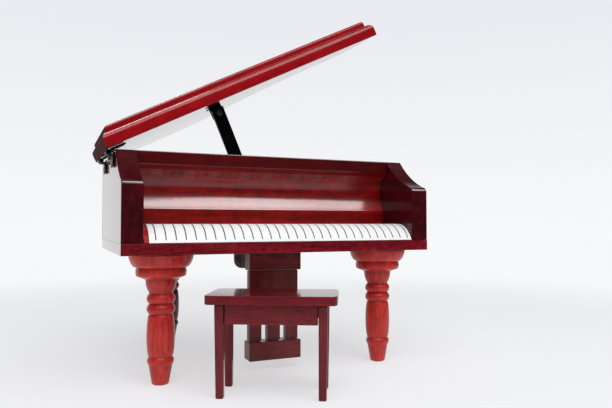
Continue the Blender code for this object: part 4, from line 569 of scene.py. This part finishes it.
def caseOutline(work, look):
    # the lid from above, in millimetres: arcs round tail, waist and shoulder, each touching the next
    over = look["overhang"]
    tailRadius = look["tail"] + look["reach"] / 2
    tail = Vector((-look["halfWidth"] - look["reach"] + tailRadius, look["leftSide"], 0))
    shoulder = Vector((look["halfWidth"] - look["shoulder"], look["rightSide"], 0))
    gap = shoulder - tail
    tailReach = tailRadius + look["waist"]
    shoulderReach = look["shoulder"] + look["waist"]
    along = (tailReach ** 2 - shoulderReach ** 2 + gap.length ** 2) / (2 * gap.length)
    aside = math.sqrt(tailReach ** 2 - along ** 2)
    ahead = gap.normalized()
    waist = tail + along * ahead + aside * Vector((-ahead.y, ahead.x, 0))
    tailTurn = math.atan2(waist.y - tail.y, waist.x - tail.x)
    shoulderTurn = math.atan2(waist.y - shoulder.y, waist.x - shoulder.x)
    arcs = ((tail, tailTurn - math.pi, 56), (waist, shoulderTurn - tailTurn, 20),
            (shoulder, -shoulderTurn, 20))
    end = work.verts.new((tail.x - tailRadius - over, tail.y, 0))
    start = end
    for centre, turn, steps in arcs:
        made = bmesh.ops.spin(work, geom=[end], cent=centre, axis=(0, 0, 1), angle=turn, steps=steps)
        end = [part for part in made["geom_last"] if isinstance(part, bmesh.types.BMVert)][0]
    front = look["front"] - over
    right = work.verts.new((end.co.x, front, 0))
    left = work.verts.new((start.co.x, front, 0))
    for pair in ((end, right), (right, left), (left, start)):
        work.edges.new(pair)
    return bmesh.ops.contextual_create(work, geom=work.edges[:])["faces"][0]


def roundStep(inset, height, radius, turn):
    # how far in and how high a quarter-round has come after so many degrees
    angle = math.radians(turn)
    return inset + radius * (1 - math.cos(angle)), height + radius * math.sin(angle)


work = bmesh.new()
face = caseOutline(work, lidLook)
made = bmesh.ops.extrude_face_region(work, geom=[face], use_keep_orig=True)["geom"]
top = [part for part in made if isinstance(part, bmesh.types.BMFace)][0]
bmesh.ops.translate(work, vec=(0, 0, lidLook["band"] - lidLook["edge"]), verts=top.verts[:])
bmesh.ops.recalc_face_normals(work, faces=work.faces)
small = lidLook["edge"]
steps = [(0.0, lidLook["band"])]
for turn in range(9, 91, 9):  # the lower board's quarter-round
    steps.append(roundStep(0.0, lidLook["band"], lidLook["round"], turn))
inset, height = steps[-1]
inset += lidLook["ledge"]
steps += [(inset, height), (inset + lidLook["lean"], height + lidLook["riser"])]
inset, height = steps[-1]
for turn in range(10, 91, 10):  # the raised panel's rounded edge
    steps.append(roundStep(inset, height, lidLook["topRound"], turn))
inset, height = 0.0, lidLook["band"] - small
for nextInset, nextHeight in steps:
    bmesh.ops.inset_region(work, faces=[top], thickness=nextInset - inset, depth=nextHeight - height,
                           use_boundary=True, use_even_offset=True)
    inset, height = nextInset, nextHeight
low = min(vert.co.z for vert in work.verts)
rim = [e for e in work.edges if all(abs(v.co.z - low) < 0.001 for v in e.verts)]
bmesh.ops.bevel(work, geom=rim, offset=small, offset_type="OFFSET", segments=3, profile=0.5,
                affect="EDGES", clamp_overlap=True, material=-1)
hinge = Vector(joints["lid_hinge"]["pos_m"])
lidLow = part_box("left_side_board")[1].z + lidLook["gap"] * mm  # underside of the closed lid
bmesh.ops.scale(work, vec=(mm, mm, mm), verts=work.verts)
bmesh.ops.translate(work, vec=(caseMiddle, caseFront, lidLow), verts=work.verts)
for face in work.faces:  # the side by the hinges: painted shade, dark and with next to no gloss
    if face.normal.x < -0.4:
        face.material_index = 1
lidAxis = Matrix.Rotation(-math.radians(lidTurn), 3, "Y")  # from the closed lid to the open one
bmesh.ops.rotate(work, cent=hinge, matrix=lidAxis, verts=work.verts)
endPiece(work, "lidPanel", "lid", ["lidCherry", "lidEndCherry"], ["lid"], smooth=50)

print("hinges, prop and winding key")
# Pressed and sheared steel: CAD's shapes with their edges tumbled
steelLook = {"edge": 0.14 * mm, "keyEdge": 0.3 * mm, "nodes": {
    "front_hinge_case_leaf": "frontCaseLeaf", "rear_hinge_case_leaf": "rearCaseLeaf",
    "front_hinge_lid_leaf": "frontLidLeaf", "rear_hinge_lid_leaf": "rearLidLeaf",
    "prop_bracket": "propBracket", "prop_bar": "propBar"}}
for nodeName, pieceName in steelLook["nodes"].items():
    work = copyOf(nodeName)
    roundEdges(work, steelLook["edge"], 2, 50.0)
    finishName = "dullEnamel" if "hinge" in nodeName else "blackEnamel"
    endPiece(work, pieceName, bodyOf[nodeName], [finishName], [nodeName])
# The plate that the prop's bracket shows to the front, in the lid's frame, round the prop's pin
pinLow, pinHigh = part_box("prop_pin")
pivot = (pinLow + pinHigh) / 2
plateLook = {"halfWidth": 3.7 * mm, "above": 5.0 * mm, "below": 3.1 * mm, "thickness": 1.26 * mm,
             "corner": 1.6 * mm, "sunk": 0.6 * mm}
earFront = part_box("prop_bracket")[0].y
work = bmesh.new()
bmesh.ops.create_cube(work, size=1.0)
bmesh.ops.scale(work, vec=(2 * plateLook["halfWidth"], plateLook["thickness"],
                           plateLook["above"] + plateLook["below"]), verts=work.verts)
bmesh.ops.translate(work, vec=(0, 0, (plateLook["above"] - plateLook["below"]) / 2), verts=work.verts)
lowCorners = [e for e in work.edges if e.verts[0].co.z < 0 and
              abs(e.verts[0].co.y - e.verts[1].co.y) > 0.1 * mm]
bmesh.ops.bevel(work, geom=lowCorners, offset=plateLook["corner"], offset_type="OFFSET", segments=5,
                profile=0.5, affect="EDGES", clamp_overlap=True, material=-1)
roundEdges(work, steelLook["edge"], 2, 50.0)
bmesh.ops.rotate(work, cent=(0, 0, 0), matrix=lidAxis, verts=work.verts)
bmesh.ops.translate(work, vec=(pivot.x, earFront + plateLook["sunk"], pivot.z), verts=work.verts)
endPiece(work, "propBracketPlate", "lid", ["blackEnamel"])
work = copyOf("winding_key")
roundEdges(work, steelLook["keyEdge"], 3, 50.0)
endPiece(work, "windingKey", "winding", ["agedNickel"], ["winding_key"])


# A screw's head in shares of its radius: rise of the side, steps of the dome (in, up), slot
screwShape = {"side": 0.22, "dome": ((0.05, 0.07), (0.09, 0.05), (0.12, 0.03)), "slot": 0.13,
              "slotDepth": 0.24}


def addScrew(name, body, place, axis, radius, finishName, turn):
    # a slotted pan-head screw whose head stands on the point place and looks along axis
    work = bmesh.new()
    bmesh.ops.create_circle(work, cap_ends=True, segments=24, radius=radius)
    made = bmesh.ops.extrude_face_region(work, geom=work.faces[:], use_keep_orig=True)["geom"]
    top = [part for part in made if isinstance(part, bmesh.types.BMFace)][0]
    bmesh.ops.translate(work, vec=(0, 0, screwShape["side"] * radius), verts=top.verts[:])
    bmesh.ops.recalc_face_normals(work, faces=work.faces)
    for thickness, depth in screwShape["dome"]:
        bmesh.ops.inset_region(work, faces=[top], thickness=thickness * radius, depth=depth * radius,
                               use_boundary=True, use_even_offset=True)
    half = screwShape["slot"] * radius
    for side in (-half, half):
        level = [f for f in work.faces if f.normal.z > 0.99]
        geometry = [top] if side < 0 else [f for f in level if f.calc_center_median().x > -half]
        edges = {edge for f in geometry for edge in f.edges}
        corners = {vert for f in geometry for vert in f.verts}
        bmesh.ops.bisect_plane(work, geom=list(corners) + list(edges) + geometry, dist=0.0001 * mm,
                               plane_co=(side, 0, 0), plane_no=(1, 0, 0))
    slotFace = [f for f in work.faces if f.normal.z > 0.99 and abs(f.calc_center_median().x) < half / 2]
    bmesh.ops.inset_region(work, faces=slotFace, thickness=0.0, depth=-screwShape["slotDepth"] * radius,
                           use_boundary=True, use_even_offset=True)
    bmesh.ops.rotate(work, cent=(0, 0, 0), matrix=Matrix.Rotation(math.radians(turn), 3, "Z"),
                     verts=work.verts)
    aim = Vector((0, 0, 1)).rotation_difference(Vector(axis)).to_matrix()
    bmesh.ops.rotate(work, cent=(0, 0, 0), matrix=aim, verts=work.verts)
    bmesh.ops.translate(work, vec=place, verts=work.verts)
    endPiece(work, name, body, [finishName], smooth=35)


# Radii of the screws' heads, and where the hinges' screws stand: from the leaf's middle, from the
# board's face, below the hinge line, and along and under the lid's leaf
screwLook = {"hinge": 0.95 * mm, "comb": 1.5 * mm, "plate": 1.5 * mm, "aside": (-2.6 * mm, 2.6 * mm),
             "leaf": 1.08 * mm, "below": 4.4 * mm, "along": 6.5 * mm, "under": 0.53 * mm}
for place in ("front", "rear"):
    low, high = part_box(place + "_hinge_case_leaf")
    middle = (low.y + high.y) / 2
    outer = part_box("left_side_board")[0].x - screwLook["leaf"]
    height = hinge.z - screwLook["below"]
    under = hinge + lidAxis @ Vector((screwLook["along"], 0, screwLook["under"]))
    for step, aside in enumerate(screwLook["aside"]):
        addScrew(place + "CaseScrew" + str(step + 1), "case", (outer, middle + aside, height), (-1, 0, 0),
                 screwLook["hinge"], "turnedBrass", 35 + 50 * step)
    for step, aside in enumerate(screwLook["aside"]):
        addScrew(place + "LidScrew" + str(step + 1), "lid", (under.x, middle + aside, under.z),
                 lidAxis @ Vector((0, 0, -1)), screwLook["hinge"], "turnedBrass", 10 + 40 * step)

print("movement")
# Where the screws stand: along the comb and in from its root, in from the plate's corners, and its top
movementLook = {"combShares": (0.25, 0.75), "combInset": 3.2 * mm, "plateInset": 3 * mm,
                "plateTop": 2.8 * mm}
combLow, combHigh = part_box("comb")
plateLow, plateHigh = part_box("movement_plate")
for step, share in enumerate(movementLook["combShares"]):
    x = combLow.x + share * (combHigh.x - combLow.x)
    addScrew("combScrew" + str(step + 1), "case", (x, combHigh.y - movementLook["combInset"], combHigh.z),
             (0, 0, 1), screwLook["comb"], "groundSteel", 25 + 70 * step)
plateTop = boardTop + movementLook["plateTop"]
inset = movementLook["plateInset"]
for step, x in enumerate((plateHigh.x - inset, plateLow.x + inset)):
    spot = (x, plateHigh.y - inset, plateTop)
    addScrew("plateScrew" + str(step + 1), "case", spot, (0, 0, 1), screwLook["plate"],
             "turnedBrass", 60 * step)
random.seed(18)
# The tune's pins: tracks along the cylinder and about so many pins on each, bare under the comb's tips
pinLook = {"radius": 0.16 * mm, "taper": 0.8, "height": 0.5 * mm, "sunk": 0.1 * mm, "tracks": 18, "pins": 13,
           "pitch": 0.92 * mm, "stray": 0.35, "bare": 0.12}
drumLow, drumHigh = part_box("pinned_cylinder")
drumRadius = (drumHigh.z - drumLow.z) / 2
drumMiddle = (drumLow + drumHigh) / 2
work = bmesh.new()
for track in range(pinLook["tracks"]):
    x = combLow.x + (track + 0.5) * pinLook["pitch"]
    for pin in range(pinLook["pins"]):
        turn = math.tau * (pin + random.uniform(-pinLook["stray"], pinLook["stray"])) / pinLook["pins"]
        if abs(turn - math.pi / 2) < pinLook["bare"]:
            continue
        spot = Matrix.Translation((x, drumMiddle.y, drumMiddle.z)) @ Matrix.Rotation(-turn, 4, "X")
        rise = drumRadius + pinLook["height"] / 2 - pinLook["sunk"]
        spot = spot @ Matrix.Translation((0, 0, rise))
        bmesh.ops.create_cone(work, cap_ends=True, segments=6, radius1=pinLook["radius"],
                              radius2=pinLook["taper"] * pinLook["radius"], depth=pinLook["height"],
                              matrix=spot)
endPiece(work, "cylinderPins", "cylinder", ["groundSteel"], smooth=35)

print("bench")
# Sanded edges: more on the seat than on what carries it
benchLook = {"edge": 0.14 * mm, "seatEdge": 0.3 * mm}
for nodeName in [name for name in nodes if name.startswith("bench_")]:
    work = copyOf(nodeName)
    roundEdges(work, benchLook["seatEdge"] if nodeName == "bench_seat" else benchLook["edge"], 2, 20.0)
    finishName = "benchLegCherry" if nodeName.endswith("leg") else "benchCherry"
    if nodeName in ("bench_left_apron", "bench_right_apron"):
        finishName = "benchSideCherry"
    for face in work.faces:
        face.material_index = 1 if nodeName == "bench_seat" and face.normal.z > 0.7 else 0
    endPiece(work, camelName(nodeName), "bench", [finishName, "seatTopCherry"], [nodeName])

print("finishes of the CAD nodes that stay")
# The replaced ones are hidden, so one finish for each of the record's materials is enough
plainFinish = {"black_steel": "blackEnamel", "nickel": "agedNickel", "brass": "turnedBrass",
               "steel": "groundSteel", "spring_steel": "bluedSteel", "cast_zinc": "castZinc",
               "white_plastic": "whiteAcetal", "rubber": "blackRubber", "lacquered_wood": "railCherry",
               "keyboard_card": "whiteCard"}
for name, node in nodes.items():
    for slot in node.material_slots:
        slot.material = finishes[plainFinish[slotOf[name]]]

print("stage, light and camera")
# Fade is where the paper floor gives way to the backdrop, in metres from the middle. Rise and sweep
# are where the backdrop turns from horizon to zenith and from room to backdrop. PaperWhite is the
# floor's share of plain white, which the camera and gloss see, and the rest takes the shadows.
stageLook = {"floorSize": 2.4, "floorColour": "F3F3F5", "floorRough": 0.9, "floorSpecular": 0.2,
             "fade": (0.24, 0.62), "paperWhite": 0.58, "horizon": "F7F8F9", "zenith": "E9EBF0",
             "rise": 0.34, "sweep": (0.5, 0.8), "fill": "BCBDC0", "room": "1A1B1E"}


def seenRays(tree, ray):
    # 1 for rays from the camera, and for the gloss and glass that pass on what they see
    shiny = addNode(tree, "ShaderNodeMath", {"operation": "MAXIMUM"}, i0=ray.outputs["Is Glossy Ray"],
                    i1=ray.outputs["Is Transmission Ray"])
    return addNode(tree, "ShaderNodeMath", {"operation": "MAXIMUM"}, i0=shiny.outputs[0],
                   i1=ray.outputs["Is Camera Ray"])


work = bmesh.new()
bmesh.ops.create_circle(work, cap_ends=True, segments=96, radius=stageLook["floorSize"] / 2)
floorData = bpy.data.meshes.new("floor")
work.to_mesh(floorData)
work.free()
floor = bpy.data.objects.new("floor", floorData)
bpy.context.scene.collection.objects.link(floor)
paper, tree, shader = newMaterial("whitePaper")
shader.inputs["Base Color"].default_value = linear(stageLook["floorColour"])
shader.inputs["Roughness"].default_value = stageLook["floorRough"]
shader.inputs["Specular IOR Level"].default_value = stageLook["floorSpecular"]
place = addNode(tree, "ShaderNodeTexCoord")
distance = addNode(tree, "ShaderNodeVectorMath", {"operation": "LENGTH"}, Vector=place.outputs["Object"])
fadeFrom, fadeTo = stageLook["fade"]
fade = addNode(tree, "ShaderNodeMapRange",
               {"interpolation_type": "SMOOTHSTEP", "From Min": fadeFrom, "From Max": fadeTo},
               Value=distance.outputs["Value"])
direct = seenRays(tree, addNode(tree, "ShaderNodeLightPath"))
share = addNode(tree, "ShaderNodeMath", {"operation": "MULTIPLY", 1: stageLook["paperWhite"]},
                i0=direct.outputs[0])
white = addNode(tree, "ShaderNodeEmission", {"Color": linear(stageLook["horizon"]), "Strength": 1.0})
sheet = addNode(tree, "ShaderNodeMixShader", {}, Fac=share.outputs[0], i1=shader.outputs[0],
                i2=white.outputs[0])
clear = addNode(tree, "ShaderNodeBsdfTransparent")
blend = addNode(tree, "ShaderNodeMixShader", {}, Fac=fade.outputs[0], i1=sheet.outputs[0],
                i2=clear.outputs[0])
tree.links.new(blend.outputs[0], tree.nodes["Material Output"].inputs["Surface"])
floorData.materials.append(paper)

# The world: an even fill on matt surfaces, the pale backdrop for the camera, gloss and glass, and for
# gloss that looks back past the camera or up, the dim room round the backdrop
world = bpy.data.worlds.new("studio")
world.use_nodes = True
bpy.context.scene.world = world
tree = world.node_tree
view = addNode(tree, "ShaderNodeTexCoord")
parts = addNode(tree, "ShaderNodeSeparateXYZ", {}, Vector=view.outputs["Generated"])
rise = addNode(tree, "ShaderNodeMapRange", {"From Max": stageLook["rise"]}, Value=parts.outputs["Z"])
backdrop = addNode(tree, "ShaderNodeMix", {"data_type": "RGBA", "A": linear(stageLook["horizon"]),
                                           "B": linear(stageLook["zenith"])},
                   Factor=rise.outputs[0])
sweepFrom, sweepTo = stageLook["sweep"]
sweep = addNode(tree, "ShaderNodeMapRange",
                {"interpolation_type": "SMOOTHSTEP", "From Min": sweepFrom, "From Max": sweepTo},
                Value=parts.outputs["Y"])
roomSide = addNode(tree, "ShaderNodeMix", {"data_type": "RGBA", "A": linear(stageLook["room"])},
                   Factor=sweep.outputs[0], i7=backdrop.outputs[2])
ray = addNode(tree, "ShaderNodeLightPath")
direct = seenRays(tree, ray)
seen = addNode(tree, "ShaderNodeMix", {"data_type": "RGBA"}, Factor=ray.outputs["Is Camera Ray"],
               i6=roomSide.outputs[2], i7=backdrop.outputs[2])
light = addNode(tree, "ShaderNodeMix", {"data_type": "RGBA", "A": linear(stageLook["fill"])},
                Factor=direct.outputs[0], i7=seen.outputs[2])
tree.links.new(light.outputs[2], tree.nodes["Background"].inputs["Color"])
tree.nodes["Background"].inputs["Strength"].default_value = 1.0

# Lamps: a level of 1 looks as bright as white paper. The two cards only show as gloss in the lacquer.
lamps = {"softbox": {"place": (-0.03, -0.34, 0.60), "aim": (0.0, 0.0, 0.08), "size": (0.64, 0.50),
                     "level": 2.8},
         "glossCard": {"place": (0.22, -0.31, 0.585), "aim": (0.03, 0.0, 0.08), "size": (0.46, 0.54),
                       "level": 9.0, "glossOnly": True, "onto": ("covedBoard", "leftSide", "rightSide")},
         "lidCard": {"place": (-0.27, 0.14, 0.58), "aim": (-0.08, 0.0, 0.12), "size": (0.11, 0.44),
                     "level": 15.0, "glossOnly": True, "onto": ("lidPanel",)}}
for name, look in lamps.items():
    lampData = bpy.data.lights.new(name, "AREA")
    lampData.shape = "RECTANGLE"
    lampData.size, lampData.size_y = look["size"]
    lampData.energy = look["level"] * math.pi * look["size"][0] * look["size"][1]
    lamp = bpy.data.objects.new(name, lampData)
    lamp.visible_diffuse = not look.get("glossOnly", False)
    if "onto" in look:
        lit = bpy.data.collections.new(name + "Pieces")
        for pieceName in look["onto"]:
            lit.objects.link(bpy.data.objects[pieceName])
        lamp.light_linking.receiver_collection = lit
    lamp.location = look["place"]
    lamp.rotation_euler = (Vector(look["aim"]) - Vector(look["place"])).to_track_quat("-Z", "Y").to_euler()
    bpy.context.scene.collection.objects.link(lamp)

# The camera that was fitted to the photograph, from the case's middle and front and from the floor
cameraLook = {"aside": -111.8 * mm, "ahead": -273.3 * mm, "height": 78.4 * mm,
              "yaw": 23.7, "pitch": 1.88, "lens": 34.35}
cameraData = bpy.data.cameras.new("camera")
cameraData.lens = cameraLook["lens"]
cameraData.sensor_width = 36.0
cameraData.clip_start = 0.01
camera = bpy.data.objects.new("camera", cameraData)
camera.location = (caseMiddle + cameraLook["aside"], caseFront + cameraLook["ahead"], cameraLook["height"])
camera.rotation_euler = (math.radians(90 + cameraLook["pitch"]), 0.0, math.radians(-cameraLook["yaw"]))
bpy.context.scene.collection.objects.link(camera)
bpy.context.scene.camera = camera
bpy.context.scene.view_settings.view_transform = "Standard"
